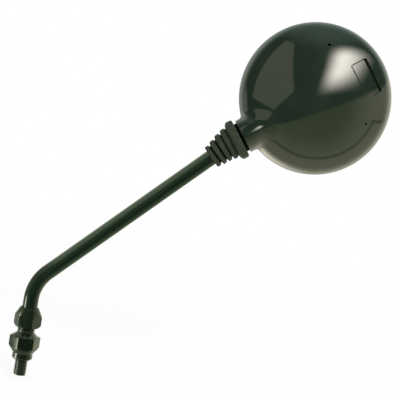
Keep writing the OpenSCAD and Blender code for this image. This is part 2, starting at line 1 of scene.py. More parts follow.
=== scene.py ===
# %% [markdown]
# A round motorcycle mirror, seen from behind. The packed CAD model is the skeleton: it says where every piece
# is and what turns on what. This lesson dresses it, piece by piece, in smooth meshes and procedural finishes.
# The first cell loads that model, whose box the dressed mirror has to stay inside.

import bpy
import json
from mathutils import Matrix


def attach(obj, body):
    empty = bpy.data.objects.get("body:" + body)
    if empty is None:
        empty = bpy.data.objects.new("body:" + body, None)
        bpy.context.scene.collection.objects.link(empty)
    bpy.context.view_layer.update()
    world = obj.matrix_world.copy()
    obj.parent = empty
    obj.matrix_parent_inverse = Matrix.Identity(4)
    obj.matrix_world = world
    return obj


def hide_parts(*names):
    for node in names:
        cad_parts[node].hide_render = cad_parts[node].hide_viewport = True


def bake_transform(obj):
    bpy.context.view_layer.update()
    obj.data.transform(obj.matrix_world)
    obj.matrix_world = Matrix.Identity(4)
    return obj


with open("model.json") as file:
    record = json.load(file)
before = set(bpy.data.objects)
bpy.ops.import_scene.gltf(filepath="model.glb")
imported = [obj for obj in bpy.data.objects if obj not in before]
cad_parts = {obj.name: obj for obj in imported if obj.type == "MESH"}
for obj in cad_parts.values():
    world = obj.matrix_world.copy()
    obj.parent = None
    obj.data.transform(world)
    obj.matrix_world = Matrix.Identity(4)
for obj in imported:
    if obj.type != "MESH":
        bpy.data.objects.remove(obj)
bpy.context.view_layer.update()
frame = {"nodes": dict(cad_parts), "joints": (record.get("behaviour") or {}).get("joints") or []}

import json
import math

import bmesh
import bpy
import numpy as np
from mathutils import Matrix, Vector

# %% [markdown]
# Real sizes are easiest to think of in millimetres, while Blender works in metres. So every shape below is
# worked out in millimetres and made smaller once, when it becomes a mesh. The ball joint's centre and the two
# axes that meet there place almost everything: the stem comes up to it, and the head hangs from it.

# %% Axes and centres
MM = 0.001
FRONT = np.array((0.0, 1.0, 0.0))  # the way the glass faces
joints = {joint["name"]: joint for joint in frame["joints"]}
ball_at = np.array(joints["head_tilt"]["pos_m"]) / MM
head_axis = np.array(joints["head_turn"]["axis"])
head_side = np.cross(FRONT, head_axis)
stem_angle = math.radians(45.2)  # between the stem's long straight and upright
stem_axis = np.array((math.sin(stem_angle), 0.0, math.cos(stem_angle)))
stem_side = np.cross(FRONT, stem_axis)
head_reach = 70.0  # from the ball's centre to the middle of the head
head_at = ball_at + head_reach * head_axis
print("ball centre", ball_at.round(1), "head centre", head_at.round(1))

# %% [markdown]
# The camera stands where the photographer stood: behind the mirror, a little above the fitting, with the
# picture rolled so that the fitting leans to the right. Its three axes are written out, so no tracking
# constraint is needed. The picture is square, so the lens follows from the focal length in pixels.

# %% Camera
picture_side, focal_pixels, sensor_width = 400, 1101.08, 36
camera_at = Vector((117, -850, 225))
camera_right = Vector((0.985812, 0.014889, 0.167192))
camera_up = Vector((-0.167853, 0.089853, 0.981709))
camera_look = Vector((0.000406, 0.995844, -0.091077))
camera_data = bpy.data.cameras.new("camera")
camera_data.sensor_width = sensor_width
camera_data.lens = sensor_width * focal_pixels / picture_side
camera_data.clip_start = 0.05
camera = bpy.data.objects.new("camera", camera_data)
turn = Matrix((camera_right, camera_up, -camera_look)).transposed().to_4x4()
camera.matrix_world = Matrix.Translation(camera_at * MM) @ turn
bpy.context.scene.collection.objects.link(camera)
bpy.context.scene.camera = camera
bpy.context.scene.view_settings.view_transform = "Standard"
print("lens", round(camera_data.lens, 1), "mm")

# %% [markdown]
# Finishes are node trees, and long trees are easier to read as sums. A Signal stands for one output of one
# node, and adding or multiplying Signals adds the Math nodes.


# %% Shader maths written as expressions
class Signal:
    """One output socket of a node tree."""

    def __init__(self, tree, socket):
        self.tree, self.socket = tree, socket

    def math(self, operation, *values):
        return self.tree.node("ShaderNodeMath", {"operation": operation}, dict(enumerate(values)))

    def __add__(self, other):
        return self.math("ADD", self, other)

    def __sub__(self, other):
        return self.math("SUBTRACT", self, other)

    def __rsub__(self, other):
        return self.math("SUBTRACT", other, self)

    def __mul__(self, other):
        return self.math("MULTIPLY", self, other)

    def __truediv__(self, other):
        return self.math("DIVIDE", self, other)

    __radd__ = __add__
    __rmul__ = __mul__

    def least(self, other):
        return self.math("MINIMUM", self, other)

    def most(self, other):
        return self.math("MAXIMUM", self, other)

    def step(self, low, high):
        """Smooth step: 0 below low and 1 above high."""
        inputs = {"Value": self, "From Min": low, "From Max": high}
        return self.tree.node("ShaderNodeMapRange", {"interpolation_type": "SMOOTHSTEP"}, inputs)


print("signals ready")

# %% [markdown]
# Everything that isn't plain arithmetic comes from one method, Tree.node. It takes the node's type, its
# settings, which are set first, and what goes into its sockets. The short methods after it only save writing
# for the nodes that come back in almost every finish.


# %% The tree and its nodes
class Tree:
    """A node tree that starts empty."""

    def __init__(self, data):
        self.data = data
        data.nodes.clear()

    def node(self, kind, settings=None, inputs=None, output=0):
        """Adds a node, sets it up, fills its sockets and returns one of its outputs as a Signal."""
        made = self.data.nodes.new(kind)
        for name, value in (settings or {}).items():
            if name == "stops":
                while len(made.color_ramp.elements) < len(value):
                    made.color_ramp.elements.new(0.5)
                for element, (place, colour) in zip(made.color_ramp.elements, value):
                    element.position, element.color = place, (*colour, 1.0)
            else:
                setattr(made, name, value)
        for name, value in (inputs or {}).items():
            socket = made.inputs[name]
            if isinstance(value, Signal):
                self.data.links.new(value.socket, socket)
            elif isinstance(value, tuple) and len(value) == 3 and len(socket.default_value) == 4:
                socket.default_value = (*value, 1.0)
            else:
                socket.default_value = value
        return Signal(self, made.outputs[output]) if made.outputs else None

    def mixed(self, share, first, second):
        """Colour between first and second."""
        return self.node("ShaderNodeMix", {"data_type": "RGBA"}, {0: share, 6: first, 7: second}, 2)

    def vectors(self, operation, first, second=(0.0, 0.0, 0.0), output="Vector"):
        return self.node("ShaderNodeVectorMath", {"operation": operation}, {0: first, 1: second}, output)

    def place(self):
        """Object coordinates, in metres."""
        return self.node("ShaderNodeTexCoord", output="Object")

    def place_mm(self, stretch=(1.0, 1.0, 1.0)):
        """Object coordinates in millimetres, stretched along the axes."""
        size = tuple(s / MM for s in stretch)
        return self.node("ShaderNodeMapping", {}, {"Vector": self.place(), "Scale": size})

    def noise(self, place, scale, detail, rough=0.5):
        inputs = {"Vector": place, "Scale": scale, "Detail": detail, "Roughness": rough}
        return self.node("ShaderNodeTexNoise", {}, inputs)

    def bump(self, height, strength, depth_mm):
        inputs = {"Height": height, "Strength": strength, "Distance": depth_mm * MM}
        return self.node("ShaderNodeBump", {}, inputs)

    def geometry(self, output):
        """A fact of the surface, such as its Pointiness."""
        return self.node("ShaderNodeNewGeometry", output=output)

    def glow(self, colour, strength=1.0):
        return self.node("ShaderNodeEmission", {}, {"Color": colour, "Strength": strength})

    def end(self, surface, kind="Material"):
        self.node("ShaderNodeOutput" + kind, {}, {"Surface": surface})


def new_tree(block):
    """The empty node tree of a material or a world."""
    block.use_nodes = True
    return Tree(block.node_tree)


print("a Tree has", ", ".join(name for name in vars(Tree) if not name.startswith("_")))

# %% [markdown]
# The light is a plain studio: a large soft lamp from the right, a weaker one from the left and one above, at
# a level at which a colour looks about as it is written. The backdrop and the floor are white because their
# colour is white, to the camera and in reflections alike, and not because more light falls on them.


# %% Backdrop and lamps
def seen_rays(tree):
    """1 for rays from the camera, off gloss or through glass, and 0 for the rays that carry light."""
    kinds = ("Is Camera Ray", "Is Glossy Ray", "Is Transmission Ray")
    rays = [tree.node("ShaderNodeLightPath", output=kind) for kind in kinds]
    return rays[0].most(rays[1]).most(rays[2])


def lamp(name, at, aim, size, power):
    data = bpy.data.lights.new(name, "AREA")
    data.shape, data.size, data.energy = "SQUARE", size, power
    made = bpy.data.objects.new(name, data)
    made.location = Vector(at)
    made.rotation_euler = (Vector(aim) - Vector(at)).to_track_quat("-Z", "Y").to_euler()
    made.visible_glossy = False
    bpy.context.scene.collection.objects.link(made)


white, sky_light = (1.0, 1.0, 1.0), (0.42, 0.42, 0.42)
world = bpy.data.worlds.new("backdrop")
bpy.context.scene.world = world
tree = new_tree(world)
backdrop = tree.mixed(seen_rays(tree), sky_light, white)
tree.end(tree.node("ShaderNodeBackground", {}, {"Color": backdrop, "Strength": 1.0}), "World")
aim = (0.12, 0.0, 0.12)
lamp("key_lamp", (1.1, -1.5, 1.5), aim, 1.1, 34)
lamp("fill_lamp", (-1.6, -1.2, 0.9), aim, 1.4, 12)
lamp("top_lamp", (0.2, 0.6, 2.0), aim, 1.6, 14)
print(len(bpy.data.lights), "lamps")

# %% [markdown]
# The floor is one large sheet of paper just under the stud. To the eye it is almost plain white, and the small
# part of real paper in it keeps the mirror's soft shadow. Further off it is all white, so no edge shows.


# %% Floor
def add_object(name, mesh, material):
    """Adds a mesh to the scene, with one material."""
    made = bpy.data.objects.new(name, mesh)
    bpy.context.scene.collection.objects.link(made)
    mesh.materials.clear()
    mesh.materials.append(material)
    return made


floor_z, floor_half = -13.0, 30.0  # millimetres and metres
white_share, white_from, white_to = 0.86, 0.3, 1.0
floor_data = bpy.data.meshes.new("floor")
corners = [(x * floor_half, y * floor_half, floor_z * MM) for x, y in ((-1, -1), (1, -1), (1, 1), (-1, 1))]
floor_data.from_pydata(corners, [], [(0, 1, 2, 3)])
floor_finish = bpy.data.materials.new("white_floor")
tree = new_tree(floor_finish)
paper = tree.node("ShaderNodeBsdfDiffuse", {}, {"Color": (0.9, 0.9, 0.9)})
far = tree.vectors("LENGTH", tree.place(), output="Value").step(white_from, white_to)
share = seen_rays(tree) * (white_share + (1 - white_share) * far)
tree.end(tree.node("ShaderNodeMixShader", {}, {0: share, 1: paper, 2: tree.glow(white)}))
floor = add_object("floor", floor_data, floor_finish)
floor.visible_glossy = False
print("floor at", floor_z, "mm")

# %% [markdown]
# Gloss black has hardly any colour of its own: what the eye sees is the room in it. So the room is built too,
# as a ball round the mirror that only reflections see. Half of it is the white table. The other half is the
# dark studio, with a big soft lamp at the right and a pale window at the left. Each shape on the ball is cut
# out by planes through its centre: a direction is inside when its dot product with every plane is positive.

# %% The shapes and tones of the room
room_radius = 900.0
table_plane, table_level, table_blur = (-0.472, -0.130, 0.872), -0.145, 0.03
lamp_planes = [
    ((0.985, 0.037, -0.168), -0.07, 0.24),
    ((-0.334, 0.093, 0.938), -0.10, 0.34),
    ((0.420, -0.720, -0.510), -0.06, 0.20),
    ((-0.860, -0.330, 0.389), -0.40, 0.18),
]
window_planes = [
    (-0.898, 0.338, -0.282),
    (-0.684, 0.326, 0.653),
    (0.042, -0.406, 0.913),
    (0.390, -0.911, -0.100),
    (-0.609, -0.516, -0.602),
]
window_blur = 0.012
edge_plane, edge_offset = (0.096, -0.995, 0.035), 0.387  # the paper's edge on the table, a thin dark line
hook_plane, hook_offset = (-0.125, -0.117, 1.0), -0.255  # where that line turns aside at its right end
card_way = (-0.972, 0.05, -0.23)  # a pale card far to the left
low_ceiling, high_ceiling = (0.15, 0.29, 0.20), (0.62, 0.88, 0.75)
low_paper, high_paper, far_paper = (1.45, 1.55, 1.4), (0.7, 0.9, 0.9), (0.5, 0.55, 0.52)
window_tone, lamp_tone, card_tone = (1.05, 1.10, 0.88), (21.5, 19.6, 20.0), (1.3, 1.3, 1.2)
near_table, table_inside, table_past = (0.57, 0.70, 0.40), (1.52, 1.52, 1.18), (1.35, 1.38, 1.06)
edge_tone, edge_strength = (0.1, 0.12, 0.09), 0.6
right_table, left_table, far_table = (2.0, 1.95, 1.6), (6.0, 5.6, 4.7), (0.7, 0.7, 0.6)
print(len(lamp_planes), "planes cut the lamp and", len(window_planes), "the window")

# %% [markdown]
# The ball's material asks one thing of each point: which way does it lie from the head? Every shape is a mask
# on that direction, and the tones are mixed in one after another, from the far ones to the near ones. The
# masks could be painted on a picture instead, but planes stay sharp at any size and need no file.

# %% The room that the gloss reflects
room_data = bpy.data.meshes.new("room")
ball = bmesh.new()
bmesh.ops.create_icosphere(ball, subdivisions=5, radius=room_radius * MM)
bmesh.ops.translate(ball, verts=ball.verts, vec=Vector(head_at * MM))
bmesh.ops.reverse_faces(ball, faces=ball.faces)
ball.to_mesh(room_data)
ball.free()
room_data.shade_smooth()
room_finish = bpy.data.materials.new("studio_room")
tree = new_tree(room_finish)
facing = tree.vectors("SUBTRACT", tree.place(), tuple(head_at * MM))
facing = tree.vectors("NORMALIZE", facing)


def towards(way):
    """How far a direction points the given way, from -1 to 1."""
    return tree.vectors("DOT_PRODUCT", facing, way, "Value")


def only_in_gloss(made):
    for ray in ("camera", "diffuse", "transmission", "volume_scatter", "shadow"):
        setattr(made, f"visible_{ray}", False)


soft_lamp, window = 1.0, 1.0
for plane, low, high in lamp_planes:
    soft_lamp = towards(plane).step(low, high) * soft_lamp
for plane in window_planes:
    window = towards(plane).step(-window_blur, window_blur) * window
back, height = towards((0.0, 1.0, 0.0)), towards((0.0, 0.0, 1.0))
far_back = back.step(0.5, 1.0)
ceiling = tree.mixed(height.step(0.78, 0.98), low_ceiling, high_ceiling)
paper = tree.mixed(height.step(0.30, 0.95), low_paper, high_paper)
paper = tree.mixed(far_back, paper, far_paper)
studio = tree.mixed(back.step(-0.05, 0.6), tree.mixed(window, ceiling, window_tone), paper)
studio = tree.mixed(soft_lamp, studio, lamp_tone)
past_edge = (towards(edge_plane) - edge_offset).most(towards(hook_plane) - hook_offset)
edge_line = 1 - (past_edge * past_edge).step(0.0, 0.0012)
table = tree.mixed(past_edge.step(0.0, 0.01), table_inside, table_past)
table = tree.mixed(back.step(-0.88, -0.35), near_table, table)
table = tree.mixed(edge_line * edge_strength, table, edge_tone)
left = 1 - towards((1.0, 0.0, 0.0)).step(-0.55, 0.25)
table_back = tree.mixed(far_back, tree.mixed(left, right_table, left_table), far_table)
table = tree.mixed(back.step(-0.15, 0.5), table, table_back)
above = towards(table_plane).step(table_level - table_blur, table_level + table_blur)
surround = tree.mixed(above, table, studio)
tree.end(tree.glow(tree.mixed(towards(card_way).step(0.955, 1.0), surround, card_tone)))
room = add_object("room", room_data, room_finish)
only_in_gloss(room)
print("room of", round(2 * room_radius * MM, 1), "m across")

# %% [markdown]
# Round things as thin as the stem and the fitting need cards close to them, as a photographer would use for a
# watch. They stand in for the pale paper beside the stem and the dark room before it. Here they are one sleeve
# that follows the stem. Its tone depends on the way round the stem, in degrees from the side that faces the
# camera, and there is one list of tones for the stem and one for the fitting.

# %% The cards' tones
stem_cards = [
    (-180, (0.80, 1.00, 0.70)), (-120, (1.30, 1.50, 1.15)), (-83, (1.20, 1.45, 1.06)),
    (-57, (1.35, 1.63, 1.20)), (-44, (0.90, 1.10, 0.75)), (-34, (0.30, 0.50, 0.28)),
    (-13, (0.14, 0.35, 0.20)), (7, (0.08, 0.24, 0.10)), (28, (0.00, 0.02, 0.00)),
    (51, (0.23, 0.35, 0.19)), (77, (0.56, 0.74, 0.46)), (114, (0.60, 0.78, 0.50)),
    (180, (0.80, 1.00, 0.70)),
]
fitting_cards = [
    (-180, (1.00, 1.10, 0.85)), (-131, (0.90, 1.05, 0.80)), (-112, (0.50, 0.60, 0.45)),
    (-84, (0.45, 0.55, 0.40)), (-76, (0.60, 0.70, 0.50)), (-71, (12.0, 12.0, 10.6)),
    (-61, (12.0, 12.0, 10.6)), (-55, (0.60, 0.80, 0.60)), (-35, (0.25, 0.35, 0.25)),
    (-12, (0.12, 0.25, 0.12)), (8, (0.00, 0.05, 0.02)), (22, (0.03, 0.10, 0.03)),
    (45, (0.06, 0.10, 0.05)), (75, (0.50, 0.55, 0.40)), (108, (0.85, 0.90, 0.62)),
    (140, (1.40, 1.50, 1.20)), (180, (1.00, 1.10, 0.85)),
]
brightest = 12.0
print(len(stem_cards), "tones round the stem and", len(fitting_cards), "round the fitting")

# %% [markdown]
# The sleeve is a grid of points: rings that follow the upright, the bend and the long straight, and close to a
# cup under the stud. Each point keeps two numbers, how far round and how far along it is, which the material
# reads by name. Its faces look inwards, so that the light goes to the stem and never to the head.

# %% The sleeve's mesh
tube_z, bend_z, bend_r, stem_len = 34.5, 48.0, 33.0, 163.3
sleeve_r, sleeve_from, sleeve_short, sleeve_sides, sleeve_steps = 28.0, -20.0, 6.0, 72, 12
sleeve_cup = ((-40.0, 2.0), (-36.0, 16.0), (-30.0, 24.0))
upright = np.array((0.0, 0.0, 1.0))
stations = [(z, z * upright, 0.0, r) for z, r in sleeve_cup]
stations += [(z, z * upright, 0.0, sleeve_r) for z in np.linspace(sleeve_from, bend_z, sleeve_steps)]
for a in np.linspace(0, stem_angle, sleeve_steps)[1:]:
    at = bend_z * upright + bend_r * np.array((1 - math.cos(a), 0.0, math.sin(a)))
    stations.append((bend_z + bend_r * a, at, a, sleeve_r))
bend_along, bend_at = stations[-1][:2]
for s in np.linspace(0, stem_len - sleeve_short, sleeve_steps)[1:]:
    stations.append((bend_along + s, bend_at + s * stem_axis, stem_angle, sleeve_r))
sleeve_points, sleeve_round, sleeve_along = [], [], []
for along, at, a, r in stations:
    across = np.array((math.cos(a), 0.0, -math.sin(a)))
    for t in np.linspace(-math.pi, math.pi, sleeve_sides + 1):
        sleeve_points.append(tuple((at + r * (math.sin(t) * across - math.cos(t) * FRONT)) * MM))
        sleeve_round.append(t / (2 * math.pi) + 0.5)
        sleeve_along.append(along)
row = sleeve_sides + 1
starts = [j * row + i for j in range(len(stations) - 1) for i in range(sleeve_sides)]
sleeve_data = bpy.data.meshes.new("sleeve")
sleeve_data.from_pydata(sleeve_points, [], [(n, n + row, n + row + 1, n + 1) for n in starts])
for label, values in (("round", sleeve_round), ("along", sleeve_along)):
    sleeve_data.attributes.new(label, "FLOAT", "POINT").data.foreach_set("value", values)
cup = Vector(stations[0][1]) * MM
inward = sum(face.normal.dot(cup - face.center) > 0 for face in sleeve_data.polygons[:sleeve_sides])
print("sleeve of", len(starts), "faces,", inward, "of its first", sleeve_sides, "face inwards")

# %% [markdown]
# Two colour ramps turn the number round the stem into a tone, and the number along it chooses between them.
# The ramps hold shares of the brightest tone, because a ramp's colours end at 1. A transparent shader on the
# back of the faces makes the sleeve shine one way only.

# %% The sleeve's finish
fitting_end, bend_fade, cup_fade = (44.0, 50.0), (66.0, 84.0), (-30.0, -18.0)
outer_dim, cup_tone = 0.6, (0.035, 0.040, 0.026)
sleeve_finish = bpy.data.materials.new("sleeve_cards")
tree = new_tree(sleeve_finish)
way_round, way_along = (
    tree.node("ShaderNodeAttribute", {"attribute_name": label}, output="Fac") for label in ("round", "along")
)
tones = []
for cards in (fitting_cards, stem_cards):
    stops = [(degrees / 360 + 0.5, tuple(v / brightest for v in colour)) for degrees, colour in cards]
    tones.append(tree.node("ShaderNodeValToRGB", {"stops": stops}, {"Fac": way_round}))
outer_side = 1 - way_round.step(0.44, 0.5)
dimmed = tree.mixed(outer_side * (1 - way_along.step(*bend_fade)) * outer_dim, tones[1], (0.0, 0.0, 0.0))
tone = tree.mixed(way_along.step(*fitting_end), tones[0], dimmed)
tone = tree.mixed(way_along.step(*cup_fade), cup_tone, tone)
clear = tree.node("ShaderNodeBsdfTransparent")
one_way = {0: tree.geometry("Backfacing"), 1: tree.glow(tone, brightest), 2: clear}
tree.end(tree.node("ShaderNodeMixShader", {}, one_way))
sleeve = add_object("sleeve", sleeve_data, sleeve_finish)
only_in_gloss(sleeve)
print("sleeve:", len(tree.data.nodes), "nodes")

# %% [markdown]
# Every finish below changes a little over its surface, because nothing real is one flat colour. The shell is
# moulded plastic: nearly black with a green cast, glossy, with the faint waves of a moulding and a few dull
# patches where it was handled. The stem is painted, and the paint has its fine orange peel. The fitting is
# black oxide on steel, with stains in it, and paler where its edges are worn.


# %% Shell plastic, paint and black oxide
def finish(name, build, **constants):
    """A material: build(tree) returns what varies, and constants are set on the shader's own sockets."""
    material = bpy.data.materials.new(name + "_finish")
    tree = new_tree(material)
    inputs = {socket.replace("_", " "): value for socket, value in constants.items()}
    tree.end(tree.node("ShaderNodeBsdfPrincipled", {}, {**inputs, **build(tree)}))
    return material


def surface(tree, colour, roughness, height, strength, depth_mm):
    """What varies over a finish."""
    return {"Base Color": colour, "Roughness": roughness, "Normal": tree.bump(height, strength, depth_mm)}


def moulded_gloss(tree):
    place = tree.place_mm()
    patches = tree.noise(place, 0.05, 3.0).step(0.35, 0.75)
    specks = tree.noise(place, 1.4, 2.0).step(0.62, 0.80)
    colour = tree.mixed(patches, (0.0080, 0.0125, 0.0085), (0.0110, 0.0155, 0.0105))
    roughness = 0.055 + 0.03 * patches + 0.05 * specks
    return surface(tree, colour, roughness, tree.noise(place, 0.22, 1.0), 0.10, 0.05)


def gloss_paint(tree):
    place = tree.place_mm()
    dust = tree.noise(place, 0.16, 3.0).step(0.4, 0.8)
    colour = tree.mixed(dust, (0.0050, 0.0100, 0.0060), (0.0085, 0.0135, 0.0085))
    return surface(tree, colour, 0.10 + 0.06 * dust, tree.noise(place, 0.9, 2.0), 0.12, 0.05)


def black_oxide(tree):
    stain = tree.noise(tree.place_mm(), 0.35, 4.0, 0.6).step(0.3, 0.75)
    grain = tree.noise(tree.place_mm((1.0, 1.0, 6.0)), 1.2, 3.0)
    worn = tree.geometry("Pointiness").step(0.53, 0.60)
    oxide = tree.mixed(stain, (0.003, 0.006, 0.003), (0.007, 0.010, 0.006))
    colour = tree.mixed(worn * 0.5, oxide, (0.05, 0.06, 0.045))
    return surface(tree, colour, 0.19 + 0.08 * stain, grain, 0.04, 0.03)


# painted shade: a near-black, rough finish with almost no reflection, for the spigot under the boot's mouth,
# so that the gap between the boot and the neck reads as shade
def painted_spigot_shade(tree):
    scratches = tree.noise(tree.place_mm(), 1.6, 3.0)
    colour = tree.mixed(scratches, (0.002, 0.003, 0.002), (0.005, 0.006, 0.005))
    return {"Base Color": colour, "Roughness": 0.8 + 0.1 * scratches}


olive = (0.96, 1.0, 0.87, 1.0)
shell_plastic = finish("shell_plastic", moulded_gloss, IOR=1.5, Specular_Tint=olive)
rough_plastic = finish("rough_plastic", painted_spigot_shade, Specular_IOR_Level=0.05)
stem_paint = finish("stem_paint", gloss_paint, IOR=1.52, Specular_Tint=olive)
black_steel = finish("black_steel", black_oxide, IOR=1.6, Specular_Tint=olive)
print("four dark finishes")

# %% [markdown]
# The boot is natural rubber, which is matt and slightly grey on its ribs, and painted shade makes its grooves
# almost black. The other finishes are for pieces that show little or not at all: turned steel, brass, nylon,
# foam and the silvered glass.


# %% Rubber, bare metals, nylon, foam and glass
def matt_rubber(tree):
    place = tree.place_mm()
    bloom = tree.noise(place, 0.5, 4.0, 0.6).step(0.3, 0.8)
    # painted shade: where the surface is hollow, as in the grooves, the colour is mixed almost to black
    groove_shade = 1 - tree.geometry("Pointiness").step(0.45, 0.54)
    colour = tree.mixed(bloom, (0.032, 0.041, 0.026), (0.047, 0.058, 0.037))
    colour = tree.mixed(groove_shade, colour, (0.002, 0.003, 0.002))
    return surface(tree, colour, 0.50 + 0.12 * bloom, tree.noise(place, 2.2, 2.0), 0.06, 0.03)


def turned_metal(light, dark):
    def build(tree):
        rings = tree.noise(tree.place_mm((0.15, 0.15, 9.0)), 1.0, 3.0)
        stain = tree.noise(tree.place_mm(), 0.3, 3.0).step(0.35, 0.8)
        return surface(tree, tree.mixed(stain, light, dark), 0.24 + 0.16 * stain, rings, 0.15, 0.03)

    return build


def moulded_nylon(tree):
    place = tree.place_mm()
    cloud = tree.noise(place, 0.25, 3.0)
    colour = tree.mixed(cloud, (0.66, 0.64, 0.55), (0.76, 0.74, 0.66))
    return surface(tree, colour, 0.42 + 0.12 * cloud, tree.noise(place, 4.0, 2.0), 0.15, 0.03)


def closed_foam(tree):
    cells = tree.node("ShaderNodeTexVoronoi", {}, {"Vector": tree.place_mm(), "Scale": 1.8})
    colour = tree.mixed(cells.step(0.1, 0.7), (0.022, 0.022, 0.022), (0.055, 0.055, 0.055))
    return surface(tree, colour, 0.8 + 0.1 * cells, cells, 0.5, 0.2)


def silvering(tree):
    place = tree.place_mm()
    dust = tree.noise(place, 0.9, 3.0).step(0.55, 0.85)
    colour = tree.mixed(tree.noise(place, 0.04, 2.0), (0.50, 0.54, 0.55), (0.55, 0.59, 0.59))
    return {"Base Color": colour, "Roughness": 0.012 + 0.05 * dust}


boot_rubber = finish("boot_rubber", matt_rubber, Specular_IOR_Level=0.05)
plain_steel = finish("plain_steel", turned_metal((0.60, 0.60, 0.58), (0.46, 0.46, 0.45)), Metallic=1.0)
ring_brass = finish("ring_brass", turned_metal((0.66, 0.52, 0.27), (0.52, 0.39, 0.19)), Metallic=1.0)
liner_nylon = finish("liner_nylon", moulded_nylon)
pad_foam = finish("pad_foam", closed_foam)
silvered_glass = finish("silvered_glass", silvering, Metallic=1.0, Coat_Weight=0.6)
print(len(bpy.data.materials), "finishes in all")

# %% [markdown]
# Most pieces are skins over rings of points, as a potter stacks rings of clay. One helper joins the rings
# with four-sided faces, closes the ends with fans or joins the last ring to the first, and turns the faces
# outwards.


# %% Rings and skins
def tidied(mesh):
    """Joins doubled points and turns the faces outwards."""
    work = bmesh.new()
    work.from_mesh(mesh)
    bmesh.ops.remove_doubles(work, verts=work.verts, dist=1e-7)
    bmesh.ops.recalc_face_normals(work, faces=work.faces)
    work.to_mesh(mesh)
    work.free()


def solid(name, points, faces, material, crease=35):
    """A closed mesh from points in millimetres, with its faces outwards and its sharp edges kept."""
    mesh = bpy.data.meshes.new(name)
    mesh.from_pydata((np.asarray(points) * MM).tolist(), [], [tuple(map(int, face)) for face in faces])
    tidied(mesh)
    mesh.shade_smooth()
    mesh.set_sharp_from_angle(angle=math.radians(crease))
    return add_object(name, mesh, material)


def ring_faces(count, sides, loop=False):
    """Four-sided faces between rings of points that are numbered one after another."""
    i = np.arange(sides)
    k = (i + 1) % sides
    faces = []
    for j in range(count if loop else count - 1):
        a, b = j * sides, (j + 1) % count * sides
        faces += np.stack([a + i, a + k, b + k, b + i], axis=1).tolist()
    return faces


def skin(name, rings, material, loop=False, crease=35):
    """A skin over rings of equal counts. Unless it is a loop, a fan closes each end."""
    rings = np.asarray(rings, float)
    count, sides = rings.shape[:2]
    points = rings.reshape(-1, 3)
    faces = ring_faces(count, sides, loop)
    if not loop:
        points = np.vstack([points, rings[0].mean(axis=0), rings[-1].mean(axis=0)])
        for start, hub in ((0, len(points) - 2), ((count - 1) * sides, len(points) - 1)):
            faces += [(start + i, start + (i + 1) % sides, hub) for i in range(sides)]
    return solid(name, points, faces, material, crease)


print("a ring of 4 and a ring of 4 make", len(ring_faces(2, 4)), "faces")

# %% [markdown]
# A turned piece is drawn as half of its section: radius and place along the axis, corner after corner. No
# turned or moulded edge is truly sharp, so a second helper puts an arc at each corner. Bevelling the mesh
# would do it too, but an arc in the drawing gives the same neat rings everywhere.

# %% Rounded profiles and turned rings
most_of_side = 0.48  # an arc uses up no more of a side than this


def rounded(corners, radius, closed=False, steps=4):
    """A polyline with an arc of radius at each corner. Radius is one number or one for each corner."""
    corners = [np.array(c, float) for c in corners]
    count = len(corners)
    radii = [radius] * count if np.isscalar(radius) else list(radius)
    points = []
    for i, corner in enumerate(corners):
        if radii[i] <= 0 or (not closed and i in (0, count - 1)):
            points.append(corner)
            continue
        before, after = corners[i - 1] - corner, corners[(i + 1) % count] - corner
        long_before, long_after = np.linalg.norm(before), np.linalg.norm(after)
        before, after = before / long_before, after / long_after
        half = math.acos(max(-1.0, min(1.0, before @ after))) / 2
        if half > math.radians(88):  # almost straight
            points.append(corner)
            continue
        cut = min(radii[i] / math.tan(half), most_of_side * long_before, most_of_side * long_after)
        r = cut * math.tan(half)
        middle_way = (before + after) / np.linalg.norm(before + after)
        centre = corner + middle_way * r / math.sin(half)
        first, last = corner + before * cut - centre, corner + after * cut - centre
        sweep = math.pi - 2 * half
        for s in range(steps + 1):
            t = s / steps
            share = (math.sin((1 - t) * sweep) * first + math.sin(t * sweep) * last) / math.sin(sweep)
            points.append(centre + share)
    return points


def turned(profile, sides, origin, axis, side):
    """Rings of a turned piece: profile holds (radius, place along the axis)."""
    across = np.cross(axis, side)
    angles = 2 * np.pi * np.arange(sides) / sides
    round_way = np.cos(angles)[:, None] * side + np.sin(angles)[:, None] * across
    return [origin + at * axis + r * round_way for r, at in profile]


print("a rounded corner has", len(rounded([(0, 0), (1, 0), (1, 1)], 0.2)) - 2, "points")

# %% [markdown]
# A tube follows a path, and so does a thread. Geometry Nodes suit both: a small tree sweeps a section along a
# curve, and the section stays square to it, so that reflections run along the piece without a break. The
# tree's sizes are named inputs, and its result is turned into a plain mesh at once.


# %% Geometry Nodes from a script
def geometry_tree(name, inputs):
    """An empty Geometry Nodes tree with named inputs."""
    data = bpy.data.node_groups.new(name, "GeometryNodeTree")
    data.interface.new_socket("Geometry", in_out="INPUT", socket_type="NodeSocketGeometry")
    data.interface.new_socket("Geometry", in_out="OUTPUT", socket_type="NodeSocketGeometry")
    for label, kind in inputs.items():
        data.interface.new_socket(label, in_out="INPUT", socket_type=f"NodeSocket{kind}")
    return Tree(data)


def given(tree, label):
    return tree.node("NodeGroupInput", output=label)


def end_tree(tree, geometry):
    """Ends the tree in Realize Instances and Set Material."""
    real = tree.node("GeometryNodeRealizeInstances", {}, {0: geometry})
    inputs = {"Geometry": real, "Material": given(tree, "Finish")}
    painted = tree.node("GeometryNodeSetMaterial", {}, inputs)
    tree.node("NodeGroupOutput", {}, {"Geometry": painted})


def evaluated_mesh(source):
    """A plain mesh of an object with its modifiers applied."""
    depsgraph = bpy.context.evaluated_depsgraph_get()
    return bpy.data.meshes.new_from_object(source.evaluated_get(depsgraph))


def grown(name, source, tree, values):
    """Runs a tree on source and returns its result as a plain mesh object."""
    modifier = source.modifiers.new("grow", "NODES")
    modifier.node_group = tree.data
    for item in tree.data.interface.items_tree:
        if item.in_out == "INPUT" and item.name in values:
            modifier[item.identifier] = values[item.name]
    made = evaluated_mesh(source)
    bpy.data.objects.remove(source)
    tidied(made)
    made.name = name
    return add_object(name, made, values["Finish"])


print("tree helpers ready")

